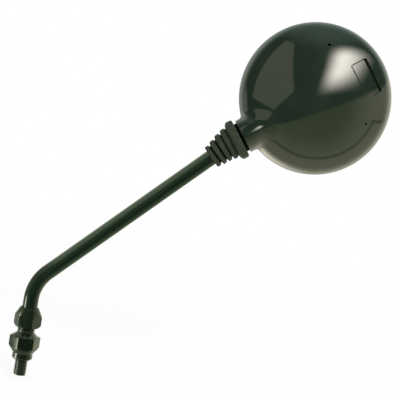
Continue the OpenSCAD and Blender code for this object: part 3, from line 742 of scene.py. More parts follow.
# %% A tree that sweeps a circle along a path
sweep_tree = geometry_tree("sweep_a_circle", {"Radius": "Float", "Sides": "Int", "Finish": "Material"})
inputs = {"Resolution": given(sweep_tree, "Sides"), "Radius": given(sweep_tree, "Radius")}
section = sweep_tree.node("GeometryNodeCurvePrimitiveCircle", {}, inputs)
inputs = {"Curve": given(sweep_tree, "Geometry"), "Profile Curve": section, "Fill Caps": False}
swept = sweep_tree.node("GeometryNodeCurveToMesh", {}, inputs)
end_tree(sweep_tree, sweep_tree.node("GeometryNodeSetShadeSmooth", {}, {"Geometry": swept}))
print("sweep tree with", len(sweep_tree.data.nodes), "nodes")

# %% [markdown]
# The stem is a steel tube that was bent on a former, so its path is a straight, an arc and another straight.
# The Solidify modifier gives the swept skin its wall. It also bends the shading of the points at the rims, and
# a very short piece at each end of the path keeps that off the long straights.

# %% The stem
tube_r, tube_wall, tube_sides = 6.0, 1.5, 96
arc_steps, straight_steps, end_piece = 40, 9, 0.4
path = [(0.0, 0.0, tube_z), (0.0, 0.0, tube_z + end_piece)]
for i in range(arc_steps + 1):
    a = stem_angle * i / arc_steps
    path.append((bend_r * (1 - math.cos(a)), 0.0, bend_z + bend_r * math.sin(a)))
bend_end = np.array(path[-1])
for along in (*np.linspace(0, stem_len - end_piece, straight_steps)[1:], stem_len):
    path.append(tuple(bend_end + along * stem_axis))
route_data = bpy.data.curves.new("stem_route", "CURVE")
route_data.dimensions = "3D"
line = route_data.splines.new("POLY")
line.points.add(len(path) - 1)
for point, at in zip(line.points, path):
    point.co = (*(v * MM for v in at), 1.0)
route = bpy.data.objects.new("stem_route", route_data)
bpy.context.scene.collection.objects.link(route)
values = {"Radius": tube_r * MM, "Sides": tube_sides, "Finish": stem_paint}
stem = grown("stem", route, sweep_tree, values)
wall = stem.modifiers.new("wall", "SOLIDIFY")
wall.thickness, wall.offset = tube_wall * MM, -1.0
stem.data.shade_smooth()
stem.data.set_sharp_from_angle(angle=math.radians(35))
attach(stem, "stem")
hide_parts("stem_tube")
print("stem:", len(stem.data.polygons), "faces")

# %% [markdown]
# The hex pieces are turned from hexagon bar: the flats are the bar's, and the cones at the ends are the
# lathe's, so the edge between them is a curve. Cutting one shape with the other would give hard, thin faces
# there. It is neater to work out the radius at each angle and height as the smaller of the two, softened a
# little, so that every edge is slightly worn and catches the light.


# %% Radius of a hexagon with turned ends
def hex_angles(turned_by, per_flat=30):
    """Angles round a hexagon, close together at its corners."""
    s = np.linspace(-1, 1, per_flat, endpoint=False)
    spread = np.sign(s) * (1 - (1 - np.abs(s)) ** 1.7)
    return np.radians(np.concatenate([60 * f + turned_by + 30 + 30 * spread for f in range(6)]))


def hex_radius(angles, across, turned_by, sharp=90):
    """Radius of a hexagon with softened corners."""
    total = 0.0
    for f in range(6):
        facing_share = np.cos(angles - math.radians(turned_by + 30 + 60 * f))
        total = total + np.maximum(facing_share, 0.0) ** sharp
    return across / 2 / total ** (1 / sharp)


def softer_least(*radii, sharp=70):
    return sum(np.asarray(r, float) ** -sharp for r in radii) ** (-1 / sharp)


def upright_ring(angles, radius, z):
    radius = np.broadcast_to(radius, angles.shape)
    z = np.broadcast_to(z, angles.shape)
    return np.stack([radius * np.cos(angles), radius * np.sin(angles), z], axis=1)


def hex_rings(angles, flat, heights, *cones):
    """Rings up a hexagon that is cut back by cones, each a radius that depends on the height."""
    return [upright_ring(angles, softer_least(flat, *(cone(z) for cone in cones)), z) for z in heights]


def worn_edge(angles, radius, z, edge, turns):
    """Rings over a rounded edge at an end. The lower end's edge is given as a negative number."""
    return [
        upright_ring(angles, radius - abs(edge) * (1 - math.cos(a)), z - edge * (1 - math.sin(a)))
        for a in np.radians(turns)
    ]


def corner_radius(across):
    return across / 2 / math.cos(math.radians(30))


print("a hexagon of 21 mm measures", round(2 * corner_radius(21.0), 1), "mm over its corners")

# %% [markdown]
# The adapter is one turned piece: the threaded stud, the round collar that rests on the handlebar, the hexagon
# for the spanner, and the threaded boss under the nut. Its rings go on from the stud's tip to the bottom of
# the bore in the boss, so it is a single skin. A cone takes the collar's round out to the hexagon's corners.

# %% The adapter
collar_r, collar_h, collar_chamfer, hex_top_z = 8.0, 5.3, 1.2, 18.5
cone_h, cone_gap, cone_foot_r, boss_z, boss_top_z = 5.6, 0.12, 10.3, 21.3, 31.0
adapter_af, adapter_turn, adapter_edge = 21.0, 13.8, 0.35
stud_len, stud_r, stud_core_r, tip_h, tip_w, undercut = 13.0, 5.0, 4.22, 1.3, 0.9, 0.7
boss_r, boss_core_r, boss_relief, boss_tip_h, boss_tip_w = 7.0, 6.15, 0.9, 0.6, 0.5
bore_r, bore_z, hub_r, collar_round, boss_round = 5.05, 17.0, 0.8, 0.25, 0.2
angles = hex_angles(adapter_turn)
flat = hex_radius(angles, adapter_af, adapter_turn)
corner_r = corner_radius(adapter_af)
lower = rounded([
    (hub_r, -stud_len), (stud_core_r - tip_w, -stud_len), (stud_core_r, tip_h - stud_len),
    (stud_core_r, -undercut), (stud_r - 0.1, 0.0), (collar_r - collar_chamfer, 0.0),
    (collar_r, collar_chamfer), (collar_r, collar_h - collar_round)], collar_round)
rings = [upright_ring(angles, r, z) for r, z in lower]
rings += hex_rings(angles, flat, np.linspace(collar_h + 0.05, hex_top_z - adapter_edge, 60),
    lambda z: collar_r + cone_gap + (z - collar_h) * (corner_r - collar_r) / cone_h)
top_r = np.hypot(rings[-1][:, 0], rings[-1][:, 1])
rings += worn_edge(angles, top_r, hex_top_z, adapter_edge, (22, 45, 68, 90))
upper = rounded([
    (cone_foot_r + 0.5, hex_top_z), (cone_foot_r, hex_top_z), (boss_core_r, boss_z + boss_relief),
    (boss_core_r, boss_top_z - boss_tip_h), (boss_core_r - boss_tip_w, boss_top_z),
    (bore_r, boss_top_z), (bore_r, bore_z), (hub_r, bore_z)], boss_round)
rings += [upright_ring(angles, r, z) for r, z in upper]
adapter = skin("adapter", rings, black_steel, crease=40)
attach(adapter, "adapter")
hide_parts("adapter_body")
print("adapter:", len(adapter.data.polygons), "faces")

# %% [markdown]
# A thread is one ridge that winds round a core. The tree below starts from a spiral and sweeps a triangle
# along it, and it thins the ridge over the first and last part of a turn, as a die leaves it. The stud has a
# fine ten millimetre thread and the boss under the nut a coarser one, so the same tree grows both.

# %% A tree that winds a thread
labels = ("Core", "Depth", "Pitch", "Start", "Length")
kinds = {**dict.fromkeys(labels, "Float"), "Steps": "Int", "Finish": "Material"}
thread_tree = geometry_tree("wind_a_thread", kinds)
core, depth, pitch, start, length = (given(thread_tree, label) for label in labels)
full_rate, thinnest = 2.5, 0.02  # how fast the ridge grows with the turns, and what it starts from
triangle_h, triangle_sink, half_width = 1.5, 3.2, 0.52
turns = length / pitch
spiral = thread_tree.node("GeometryNodeCurveSpiral", {}, {
    "Resolution": given(thread_tree, "Steps"), "Rotations": turns, "Start Radius": core,
    "End Radius": core, "Height": length})
share = thread_tree.node("GeometryNodeSplineParameter")
run_out = (share.least(1 - share) * turns * full_rate).least(1.0).most(thinnest)
spiral = thread_tree.node("GeometryNodeSetCurveRadius", {}, {"Curve": spiral, "Radius": run_out})
spiral = thread_tree.node("GeometryNodeSetCurveNormal", {"mode": "Z_UP"}, {"Curve": spiral})
triangle = thread_tree.node("GeometryNodeCurvePrimitiveCircle", {}, {"Resolution": 3, "Radius": 1.0})
size = {0: depth / -triangle_h, 1: pitch * half_width, 2: 1.0}
stretch = thread_tree.node("ShaderNodeCombineXYZ", {}, size)
shift = thread_tree.node("ShaderNodeCombineXYZ", {}, {0: depth / -triangle_sink})
inputs = {"Geometry": triangle, "Translation": shift, "Scale": stretch}
triangle = thread_tree.node("GeometryNodeTransform", {}, inputs)
inputs = {"Curve": spiral, "Profile Curve": triangle, "Fill Caps": True}
ridge = thread_tree.node("GeometryNodeCurveToMesh", {}, inputs)
lift = thread_tree.node("ShaderNodeCombineXYZ", {}, {2: start})
inputs = {"Geometry": ridge, "Translation": lift}
end_tree(thread_tree, thread_tree.node("GeometryNodeTransform", {}, inputs))


def thread(name, core_r, crest_r, pitch_mm, start_z, long_mm):
    """Grows a thread on the adapter. The tree needs no source, so it starts from an empty mesh."""
    seed = add_object(name + "_seed", bpy.data.meshes.new(name + "_seed"), black_steel)
    sizes = (core_r, crest_r - core_r, pitch_mm, start_z, long_mm)
    values = {label: size * MM for label, size in zip(labels, sizes)}
    made = grown(name, seed, thread_tree, {**values, "Steps": 48, "Finish": black_steel})
    points = np.array([v.co for v in made.data.vertices]) / MM
    reach = np.hypot(points[:, 0], points[:, 1]).max()
    print(name, "reaches", round(float(reach), 2), "mm,", len(made.data.polygons), "faces")
    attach(made, "adapter")


stud_pitch, stud_lead, boss_pitch, boss_lead = 1.25, 0.6, 1.5, 0.7
boss_len = boss_top_z - boss_z
thread("stud_thread", stud_core_r, stud_r, stud_pitch, stud_lead - stud_len, stud_len - tip_h)
thread("boss_thread", boss_core_r, boss_r, boss_pitch, boss_z + boss_lead, boss_len - 2 * boss_lead)

# %% [markdown]
# The lock nut is made the same way as the adapter: a hexagon, cut back by a short cone below and by a long
# one above, which is what makes it look like a tapered cap. Inside, a second row of rings follows its thread
# and the cone that grips the ring.

# %% The lock nut
nut_z, nut_top_z, nut_af, nut_turn, nut_edge, nut_round = 25.9, 41.6, 19.0, 58.1, 0.25, 0.2
nut_foot_r, nut_top_r, nut_taper_h, foot_gap, top_gap = 8.8, 7.2, 7.2, 0.14, 0.10
grip_r, grip_z, cone_mid, cone_low, nut_thread_r, mouth_r = 6.3, 40.5, (6.55, 39.0), 35.9, 7.05, 7.6
angles = hex_angles(nut_turn)
flat = hex_radius(angles, nut_af, nut_turn)
taper = (corner_radius(nut_af) - nut_top_r) / nut_taper_h
rings = worn_edge(angles, nut_foot_r + foot_gap, nut_z, -nut_edge, (90, 60, 30))
rings += hex_rings(angles, flat, np.linspace(nut_z + nut_edge, nut_top_z - nut_edge, 64),
    lambda z: nut_foot_r + foot_gap + (z - nut_z), lambda z: nut_top_r + top_gap + (nut_top_z - z) * taper)
rings += worn_edge(angles, nut_top_r + top_gap, nut_top_z, nut_edge, (30, 60, 90))
inside = rounded([
    (grip_r, nut_top_z), (grip_r, grip_z), cone_mid, (nut_thread_r, cone_low), (nut_thread_r, nut_z),
    (mouth_r, nut_z)], nut_round)
rings += [upright_ring(angles, r, z) for r, z in inside]
nut = skin("nut", rings, black_steel, loop=True, crease=40)
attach(nut, "nut")
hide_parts("lock_nut")
print("nut:", len(nut.data.polygons), "faces")

# %% [markdown]
# The boot is one rubber bellows, skinned over rings like the rest, but each ring is also tipped about the
# ball's centre by an amount that grows smoothly from the stem to the head. That is how the real one bends.
# It is made in two halves that meet at the bottom of a groove.

# %% The ribs and grooves of the boot
boot_from, boot_mouth_r, boot_end_r, boot_wall = 5.05, 11.9, 6.3, 1.0
ring_w, ring_r, chamfer, rib_pitch, groove, groove_depth = 7.6, 15.75, 1.1, 5.2, 2.1, 2.2
rib_count, first_rib_r, last_rib_r, rib_edge, lining_edge = 4, 12.6, 9.15, 0.35, 0.4
rib_step = (first_rib_r - last_rib_r) / (rib_count - 1)
rib_w = rib_pitch - groove
rest_tilt = math.radians(7.8)
boot_sides, boot_round, mouth_gap, split = 128, 0.45, 0.3, 1


def rib_at(i):
    return ring_w + groove / 2 + i * rib_pitch


def rib_r(i):
    return first_rib_r - i * rib_step


def groove_bottom(i):
    return (rib_at(i) - groove / 2, rib_r(i) - groove_depth)


print("ribs of radius", [round(rib_r(i), 2) for i in range(rib_count)], "mm")


# %% Rings that lean with the boot
def boot_rings(profile):
    """Rings of the boot, tipped about the ball's centre. Profile holds (place from the large end, radius)."""
    angles = 2 * np.pi * np.arange(boot_sides) / boot_sides
    rings = []
    for at, r in profile:
        t = min(max((at - ring_w) / (rib_at(rib_count - 1) - ring_w), 0.0), 1.0)
        tip = rest_tilt * (1 - t * t * (3 - 2 * t))
        x, z = r * np.cos(angles), np.full(boot_sides, boot_from - at)
        x, z = x * math.cos(tip) + z * math.sin(tip), z * math.cos(tip) - x * math.sin(tip)
        y = r * np.sin(angles)
        rings.append(ball_at + x[:, None] * stem_side + y[:, None] * FRONT + z[:, None] * stem_axis)
    return rings


def rib_outline(i):
    at, r = rib_at(i), rib_r(i)
    low, high = at + rib_edge, at + rib_w - rib_edge
    return [(at, r - rib_edge), (low, r), (high, r), (at + rib_w, r - rib_edge)]


def rib_lining(i):
    at, r = rib_at(i), rib_r(i) - boot_wall
    return [(at + rib_w - lining_edge, r), (at + lining_edge, r)]


print("the boot leans", round(math.degrees(rest_tilt), 1), "degrees at rest")


# %% The two halves of the boot
def boot_half(name, outside, inside):
    profile = rounded(outside + inside, boot_round, closed=True, steps=3)
    half = skin(name, boot_rings(profile), boot_rubber, loop=True, crease=60)
    print(name, len(half.data.polygons), "faces")
    return half


def under(bottom):
    """The point inside the wall, under the bottom of a groove."""
    return (bottom[0], bottom[1] - boot_wall)


split_out = groove_bottom(split)
large_out = [
    (mouth_gap, ring_r - chamfer), (mouth_gap + chamfer, ring_r), (ring_w - 2 * chamfer, ring_r),
    (ring_w - 0.5, ring_r - 2 * chamfer), groove_bottom(0), *rib_outline(0), split_out]
large_in = [under(split_out), *rib_lining(0), (ring_w - 1.5, boot_mouth_r), (mouth_gap, boot_mouth_r)]
small_out = [
    split_out, *rib_outline(1), groove_bottom(2), *rib_outline(2), groove_bottom(3), *rib_outline(3)]
small_in = [
    (rib_at(3) + rib_w, boot_end_r), (groove_bottom(3)[0], boot_end_r), *rib_lining(2),
    under(groove_bottom(2)), *rib_lining(1), under(split_out)]
boot_large = boot_half("boot_large", large_out, large_in)
boot_small = boot_half("boot_small", small_out, small_in)


def along_stem(at):
    """A point on the boot's middle line, in metres, counted from the large end."""
    return tuple((ball_at + (boot_from - at) * stem_axis) * MM)


along_stem(rib_at(3))
along_stem(split_out[0])
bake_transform(boot_small)
along_stem(split_out[0])
along_stem(ring_w)
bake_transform(boot_large)
for half in (boot_large, boot_small):
    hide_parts("boot")

# %% [markdown]
# The shell is the piece that everyone looks at. It is a shallow dome, made of two arcs that meet smoothly,
# with a straight band behind the glass and a round neck that grows out of its side. A gloss surface shows
# every flaw, so each point is moved onto one exact rule: a number that says how far a point is outside the
# dome or the neck, whichever is nearer, with the two blended where they meet. That blend is the fillet.

# %% The rule for the shell's outside
head_r, shoulder_x, shoulder_y, shoulder_r = 59.0, 42.0, 9.5, 17.0
dome_y = -21.5
crown_deep = shoulder_y - dome_y
crown_r = (shoulder_x**2 + crown_deep**2 - shoulder_r**2) / (2 * (crown_deep - shoulder_r))
crown_y = dome_y + crown_r
rim_y = 17.5
neck_r, neck_deep, neck_from, neck_round, neck_round_len = 13.5, 15.0, 6.95, -64.0, 32.0
fillet_least, fillet_more, fillet_from, fillet_over = 1.2, 4.4, 14.5, 10.0
print("crown radius", round(crown_r, 2), "mm about y", round(crown_y, 2))


def smooth(t):
    t = np.clip(t, 0.0, 1.0)
    return t * t * (3 - 2 * t)


def dome_gap(side, along, y):
    rho = np.hypot(side, along)
    crown = np.hypot(rho, crown_y - y) - crown_r
    shoulder = np.hypot(rho - shoulder_x, np.minimum(y - shoulder_y, 0.0)) - shoulder_r
    on_crown = rho * (crown_y - shoulder_y) < shoulder_x * (crown_y - y)
    return np.where(on_crown, crown, shoulder)


def shell_gap(p):
    """How far points are outside the shell. Their columns are sideways, along the neck's axis, and y."""
    side, along, y = p[..., 0], p[..., 1], p[..., 2]
    dome = dome_gap(side, along, y)
    past_end = np.maximum(along - neck_round, 0.0) / neck_round_len
    deep = np.where(y < 0.0, neck_deep, neck_r)
    neck = (np.sqrt((side / neck_r) ** 2 + (y / deep) ** 2 + past_end**2) - 1.0) * neck_r
    k = fillet_least + fillet_more * smooth((fillet_from - y) / fillet_over)
    overlap = np.maximum(k - np.abs(dome - neck), 0.0)
    return np.minimum(dome, neck) - overlap**2 / (4 * k)


def shell_slope(p):
    """Which way the gap grows fastest, by small steps along each axis."""
    tiny = 1e-3
    steps = [shell_gap(p + tiny * e) - shell_gap(p - tiny * e) for e in np.eye(3)]
    return np.stack(steps, axis=-1) / (2 * tiny)


def onto_shell(p, times=6):
    """Moves points onto the shell, against the slope."""
    for _ in range(times):
        slope = shell_slope(p)
        p = p - shell_gap(p)[..., None] * slope / np.maximum((slope**2).sum(axis=-1, keepdims=True), 0.05)
    return p


# %% [markdown]
# The dome's points lie on rings and spokes, and each is drawn onto the rule. Round the neck a block of them is
# left out, because rings about the dome's middle can't follow the neck. The last rings are the rounded rim.

# %% The dome
spokes, half_block, block_from_r = 288, 17, 30.0
crown_rings, shoulder_rings, band_rings = 57, 23, 8
lean = math.atan2(shoulder_x, crown_y - shoulder_y)
profile = []
for a in np.linspace(0, lean, crown_rings)[1:]:
    profile.append((crown_r * math.sin(a), crown_y - crown_r * math.cos(a)))
for a in np.linspace(lean, math.pi / 2, shoulder_rings)[1:]:
    profile.append((shoulder_x + shoulder_r * math.sin(a), shoulder_y - shoulder_r * math.cos(a)))
profile += [(head_r, y) for y in np.linspace(shoulder_y, rim_y - 0.9, band_rings)[1:]]
block_last = len(profile) - 1
profile += [(head_r, rim_y - 0.5), (head_r - 0.15, rim_y - 0.15), (head_r - 0.5, rim_y)]
block_first = next(j for j, (rho, y) in enumerate(profile) if rho > block_from_r)
spoke = 2 * np.pi * np.arange(spokes) / spokes
grid = np.array([[(rho * math.sin(a), -rho * math.cos(a), y) for a in spoke] for rho, y in profile])
grid[: block_last + 1] = onto_shell(grid[: block_last + 1])
index = np.arange(grid.size // 3).reshape(len(profile), spokes)
points = [grid.reshape(-1, 3)]
faces = []
for j in range(len(profile) - 1):
    for i in range(spokes):
        column = i if i < spokes // 2 else i - spokes
        if block_first <= j < block_last and -half_block <= column < half_block:
            continue
        k = (i + 1) % spokes
        faces.append((index[j, i], index[j, k], index[j + 1, k], index[j + 1, i]))
print("dome of", len(faces), "faces")

# %% [markdown]
# The border of the left out block is joined to the neck's circle by rows of points, like a net between two
# hoops. The net starts as straight lines. Then each point moves to the middle of its neighbours and back onto
# the rule, many times, until the rows are even. Uneven rows would show as dents in the reflections.

# %% The net round the neck
rows, relax_times = 30, 60
columns = list(range(-half_block, half_block + 1))
border = [index[block_first, c] for c in columns]
border += [index[j, half_block] for j in range(block_first + 1, block_last)]
border += [index[block_last, c] for c in reversed(columns)]
border += [index[j, -half_block] for j in range(block_last - 1, block_first, -1)]
hoop = points[0][border]
count = len(border)
at_angle = np.unwrap(np.arctan2(hoop[:, 0], -hoop[:, 2]))
even = at_angle[half_block] + 2 * np.pi * (np.arange(count) - half_block) / count
at_angle = 0.5 * at_angle + 0.5 * even
neck_end = neck_from + 1.0 - head_reach
circle = np.stack([np.sin(at_angle), np.zeros(count), -np.cos(at_angle)], axis=1)
circle_r = np.full(count, neck_r)
for _ in range(6):
    circle_r -= shell_gap(circle_r[:, None] * circle + (0.0, neck_end, 0.0))
circle = circle_r[:, None] * circle + (0.0, neck_end, 0.0)
share = np.linspace(0, 1, rows + 1)[:, None, None]
net = hoop * (1 - share) + circle * share
net[1:-1] = onto_shell(net[1:-1])
for _ in range(relax_times):
    inner = net[1:-1]
    around = np.roll(inner, 1, axis=1) + np.roll(inner, -1, axis=1)
    net[1:-1] = onto_shell((net[:-2] + net[2:] + around) / 4, 2)
net[1:-1] = onto_shell(net[1:-1])
base = len(points[0])
points.append(net[1:].reshape(-1, 3))


def joined(rows):
    """Four-sided faces between closed rows of point numbers."""
    return [
        (a[i], a[(i + 1) % count], b[(i + 1) % count], b[i])
        for a, b in zip(rows[:-1], rows[1:]) for i in range(count)
    ]


row_index = [np.array(border)] + [base + r * count + np.arange(count) for r in range(rows)]
faces += joined(row_index)
off_rule = np.abs(shell_gap(net[1:-1])).max()
print("net of", rows, "x", count, "points, off the rule by", f"{off_rule:.4f}", "mm")

# %% [markdown]
# Behind the neck comes the spigot that holds the boot, with its bead and the round socket of the ball. It is
# turned, so its rings simply go on from the neck's circle. A flat fan closes the front for now: the inside is
# cut out afterwards with plain turned shapes, as the core of a mould does it.

# %% The spigot, and the closed outside
spigot_r, bead_r, socket_r, socket_out_r = 11.6, 12.4, 8.25, 9.8
spigot = rounded([
    (neck_r, neck_from + 1.0), (neck_r, neck_from), (spigot_r, neck_from), (spigot_r, 2.0),
    (bead_r, 1.2), (bead_r, 0.6), (spigot_r, 0.0), (socket_out_r, 0.0)],
    [0, 0.35, 0.3, 0.2, 0.2, 0.2, 0, 0])
for a in np.radians(np.linspace(8, 84, 12)):
    spigot.append((socket_out_r * math.cos(a), -socket_out_r * math.sin(a)))
base = sum(map(len, points))
for r, a in spigot[1:]:
    ring = np.stack([r * np.sin(at_angle), np.full(count, a - head_reach), -r * np.cos(at_angle)], axis=1)
    wider = min(max((r - spigot_r) / (neck_r - spigot_r), 0.0), 1.0)
    ring[:, 2] *= np.where(ring[:, 2] < 0.0, 1 + wider * (neck_deep / neck_r - 1), 1.0)
    points.append(ring)
row_index = [row_index[-1]] + [base + r * count + np.arange(count) for r in range(len(spigot) - 1)]
faces += joined(row_index)
hubs = np.array([(0.0, 0.0, dome_y), (0.0, 0.0, rim_y), (0.0, -socket_out_r - head_reach, 0.0)])
base = sum(map(len, points))
points.append(hubs)
for hub, ring in enumerate((index[0], index[-1], row_index[-1])):
    faces += [(ring[i], ring[(i + 1) % len(ring)], base + hub) for i in range(len(ring))]
hair = 0.99995  # so that the dome stays inside the packed one
local = np.vstack(points) * hair


def on_head(p):
    """From sideways, along the neck's axis and y, all from the middle of the head, to the row frame."""
    p = np.asarray(p, float)
    return head_at + p[..., 0:1] * head_side + p[..., 1:2] * head_axis + p[..., 2:3] * FRONT


shell = solid("shell", on_head(local), faces, shell_plastic)
# the spigot behind the neck gets the near-black finish: painted shade for the gap under the boot
shell.data.materials.append(rough_plastic)
for face in shell.data.polygons:
    along = (Vector(face.center) - Vector(ball_at * MM)).dot(Vector(head_axis)) / MM
    face.material_index = 1 if along < neck_from - 0.05 else 0
print("closed shell:", len(shell.data.polygons), "faces")

# %% [markdown]
# The inside is cut with plain turned and boxed shapes, as the core of a mould shapes it: the hollow behind the
# glass, the barrel and the bosses that stand in it, and the ball's seat. What has to stand in the hollow is
# first taken from the hollow's own cutter, so that one cut leaves it all in place.


# %% Cutters
def carve(target, tool):
    """Cuts tool out of target, and removes tool."""
    cut = target.modifiers.new("carve", "BOOLEAN")
    cut.object, cut.operation, cut.solver = tool, "DIFFERENCE", "MANIFOLD"
    made = evaluated_mesh(target)
    target.modifiers.remove(cut)
    target.data = made
    bpy.data.objects.remove(tool)


def face_turned(name, profile, sides=288):
    """Turned about the head's middle: profile holds (radius, y)."""
    return skin(name, turned(profile, sides, head_at, FRONT, head_side), shell_plastic)


def neck_turned(name, profile, sideways=0.0, sides=96):
    """Turned about an axis beside the neck's: profile holds (radius, distance from the ball's centre)."""
    origin = ball_at + sideways * head_side
    return skin(name, turned(profile, sides, origin, head_axis, head_side), shell_plastic)


def neck_box(name, half_w, half_h, low, high):
    corners = np.array([(-half_w, -half_h), (half_w, -half_h), (half_w, half_h), (-half_w, half_h)])
    across = corners[:, :1] * head_side + corners[:, 1:] * FRONT
    return skin(name, [ball_at + a * head_axis + across for a in (low, high)], shell_plastic)


print("cutters are skins too, and are gone after their cut")

# %% The hollow, the socket and the screws' places
wall, ledge_r, ledge_y, void_end_y, pocket_r = 2.5, 53.5, 11.4, 10.4, 56.5
screw_r, boss_out_r, plate_a, plate_r, barrel_r, barrel_from = 13.6, 3.0, 23.0, 10.45, 10.75, -5.0
seat_from, mouth, room_gap, room_h = 48, 20.0, 0.35, 13.0
pilot_r, pilot_len, past = 1.75, 8.0, 1.0
inner_r = [(crown_r - wall) * math.sin(a) for a in np.linspace(0.01, lean, 40)]
space = [(r, crown_y - math.sqrt((crown_r - wall) ** 2 - r**2)) for r in inner_r]
inner = shoulder_r - wall
space += [(shoulder_x + inner * math.sin(a), shoulder_y - inner * math.cos(a))
    for a in np.linspace(lean, math.radians(82), 14)[1:]]
space += [(ledge_r, void_end_y), (ledge_r, ledge_y), (pocket_r, ledge_y), (pocket_r, rim_y + past)]
void = face_turned("void", space, 192)
carve(void, neck_turned("barrel", [(barrel_r, barrel_from), (barrel_r, plate_a)]))
for side in (-1, 1):
    carve(void, neck_turned("boss", [(boss_out_r, 0.0), (boss_out_r, plate_a)], side * screw_r, 48))
carve(void, neck_box("web", screw_r, boss_out_r, 0.0, plate_a))
carve(shell, void)
seat_turns = np.radians(np.linspace(seat_from, 90, 12))
seat = [(socket_r * math.sin(a), -socket_r * math.cos(a)) for a in seat_turns]
bore = [(mouth * math.tan(math.radians(seat_from)), -mouth), *seat, (socket_r, plate_a + past)]
carve(shell, neck_turned("bore", bore))
room_r = plate_r + room_gap
carve(shell, neck_turned("plate_room", [(room_r, plate_a), (room_r, plate_a + room_h)]))
room_r = boss_out_r + room_gap
carve(shell, neck_box("ear_room", screw_r, room_r, plate_a, plate_a + room_h))
for side in (-1, 1):
    head_room = [(room_r, plate_a), (room_r, plate_a + room_h)]
    carve(shell, neck_turned("screw_room", head_room, side * screw_r, 48))
    pilot = [(pilot_r, plate_a - pilot_len), (pilot_r, plate_a + past)]
    carve(shell, neck_turned("screw_hole", pilot, side * screw_r, 48))
print("hollow shell:", len(shell.data.polygons), "faces")

# %% [markdown]
# The recess in the dome is a shallow rounded rectangle, and two small slots, one on each side of it, let water
# out. The recess's cutter is skinned over rings that lie at chosen depths under the dome, so its floor is an
# even step down, and its edge is rounded over, which catches the light on all sides. The slots are oval.

# %% The recess and the drain holes
recess_w, recess_h, recess_corner = 27.0, 12.4, 0.9
recess_at, recess_side = 40.3, 3.3
recess_depth, recess_edge, recess_turns = 1.9, 1.1, (52, 39, 26, 13, 0)
side_parts = {5: 18, 11: 8, 17: 18, 23: 8}  # how finely a side is cut, by the corner point it starts at


def dome_height(side, along, depth):
    """The dome's y, moved inwards by depth."""
    rho = np.hypot(side, along)
    crown = crown_y - np.sqrt((crown_r - depth) ** 2 - rho**2)
    out = np.maximum(rho - shoulder_x, 0.0)
    shoulder = shoulder_y - np.sqrt((shoulder_r - depth) ** 2 - out**2)
    return np.where(rho < (crown_r - depth) * math.sin(lean), crown, shoulder)


def recess_ring(grow, depth, share=1.0):
    """A rounded rectangle that lies depth under the dome."""
    w, h = recess_w / 2 + grow, recess_h / 2 + grow
    corners = rounded([(-w, -h), (w, -h), (w, h), (-w, h)], recess_corner + grow, closed=True, steps=5)
    ring = []
    for i, corner in enumerate(corners):
        parts = side_parts.get(i, 1)
        after = corners[(i + 1) % len(corners)]
        ring += [corner + (after - corner) * j / parts for j in range(parts)]
    side, along = (np.array(ring) * share + (recess_side, recess_at)).T
    return np.stack([side, along, dome_height(side, along, depth)], axis=1)


bevel = []
for a in np.radians(recess_turns):
    bevel.append((recess_edge * (1 - math.cos(a)), recess_edge * (1 - math.sin(a))))
grow, depth = bevel[0]
above_dome, far_above = 0.8, 4.0
flare = grow + (depth + above_dome) * math.tan(math.radians(recess_turns[0]))
rings = [recess_ring(flare, -far_above), recess_ring(flare, -above_dome)]
rings += [recess_ring(*step) for step in bevel]
rings += [recess_ring(0.0, recess_depth, share) for share in np.linspace(1.0, 0.1, 10)]
carve(shell, skin("recess", [on_head(ring) for ring in rings], shell_plastic))
drain_at, drain_sides, drain_from, drain_to = 41.5, 40, -40.0, 9.0
for drain_turn, drain_w, drain_h in ((-50.4, 1.45, 0.95), (54.4, 1.05, 0.75)):
    a, t = math.radians(drain_turn), 2 * np.pi * np.arange(drain_sides) / drain_sides
    along, across = drain_at + drain_h * np.cos(t), drain_w * np.sin(t)
    x, z = along * math.sin(a) + across * math.cos(a), along * math.cos(a) - across * math.sin(a)
    rings = [on_head(np.stack([x, z, np.full(drain_sides, y)], axis=1)) for y in (drain_from, drain_to)]
    carve(shell, skin("drain", rings, shell_plastic))
shell.data.shade_smooth()
shell.data.set_sharp_from_angle(angle=math.radians(32))
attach(shell, "head")
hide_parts("housing")
print("shell:", len(shell.data.polygons), "faces")

# %% [markdown]
# The front of the head is the mirror itself: a convex glass of long radius in a rubber ring with two lips.
# Both are turned. The glass needs many rings, because in a reflection even a very shallow facet shows.

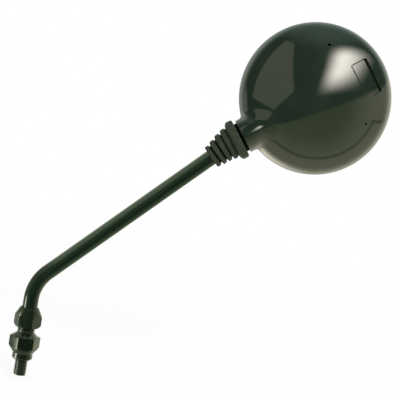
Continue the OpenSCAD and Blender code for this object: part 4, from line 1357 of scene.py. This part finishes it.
# %% Glass and its rubber ring
glass_r, glass_curve, glass_t, glass_front_y, glass_hub_r = 55.0, 1200.0, 2.5, 17.0, 0.6
front_sides = 256
glass_y = glass_front_y - math.sqrt(glass_curve**2 - glass_r**2)


def glass_arc(curve, from_r, to_r, count):
    return [(r, glass_y + math.sqrt(curve**2 - r * r)) for r in np.linspace(from_r, to_r, count)]


front = glass_arc(glass_curve, glass_hub_r, glass_r - 0.5, 40)
back = glass_arc(glass_curve - glass_t, glass_r, glass_hub_r, 12)
edge_y = front[-1][1]
profile = front + [(glass_r - 0.15, edge_y - 0.12), (glass_r, edge_y - 0.45)] + back
glass = skin("glass_pane", turned(profile, front_sides, head_at, FRONT, head_side), silvered_glass, crease=50)
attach(glass, "head")
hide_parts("glass")
lip_r, seat_r, outer_r = 53.4, 55.2, 56.3
lip_from, lip_low, lip_high, lip_to = 12.4, 14.3, 17.27, 18.37
lip = rounded([
    (lip_r, lip_from), (outer_r, lip_from), (outer_r, lip_to), (lip_r, lip_to), (lip_r, lip_high),
    (seat_r, lip_high), (seat_r, lip_low), (lip_r, lip_low)],
    [0.2, 0.3, 0.6, 0.5, 0.2, 0.1, 0.1, 0.2], closed=True)
# the ring has the boot's finish, so its hollows get the same painted shade
gasket = skin("gasket", turned(lip, front_sides, head_at, FRONT, head_side), boot_rubber, loop=True)
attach(gasket, "head")
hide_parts("rim_gasket")
print("glass and ring:", len(glass.data.polygons), len(gasket.data.polygons), "faces")

# %% [markdown]
# The pieces inside keep their CAD shapes, which are right as they are. They only need their finishes, and a
# table says which piece has which: turned steel for what is pressed or screwed, brass for the ring that grips,
# nylon for what slides, and foam behind the glass.

# %% Finishes for the pieces inside
inner_finish = {
    plain_steel: ("friction_washer", "stem_foot", "ball_stud", "coil_spring", "spring_seat", "spring_plate",
        "plate_screw_1", "plate_screw_2"),
    ring_brass: ("clamp_ring",),
    liner_nylon: ("ball_liner", "pressure_cup", "backing_plate"),
    pad_foam: ("foam_pad",),
}
for material, names in inner_finish.items():
    for name in names:
        mesh = frame["nodes"][name].data
        mesh.materials.clear()
        mesh.materials.append(material)
        print(material.name, "on", name)

# %% [markdown]
# The dressed mirror has to lie in the packed model's box.
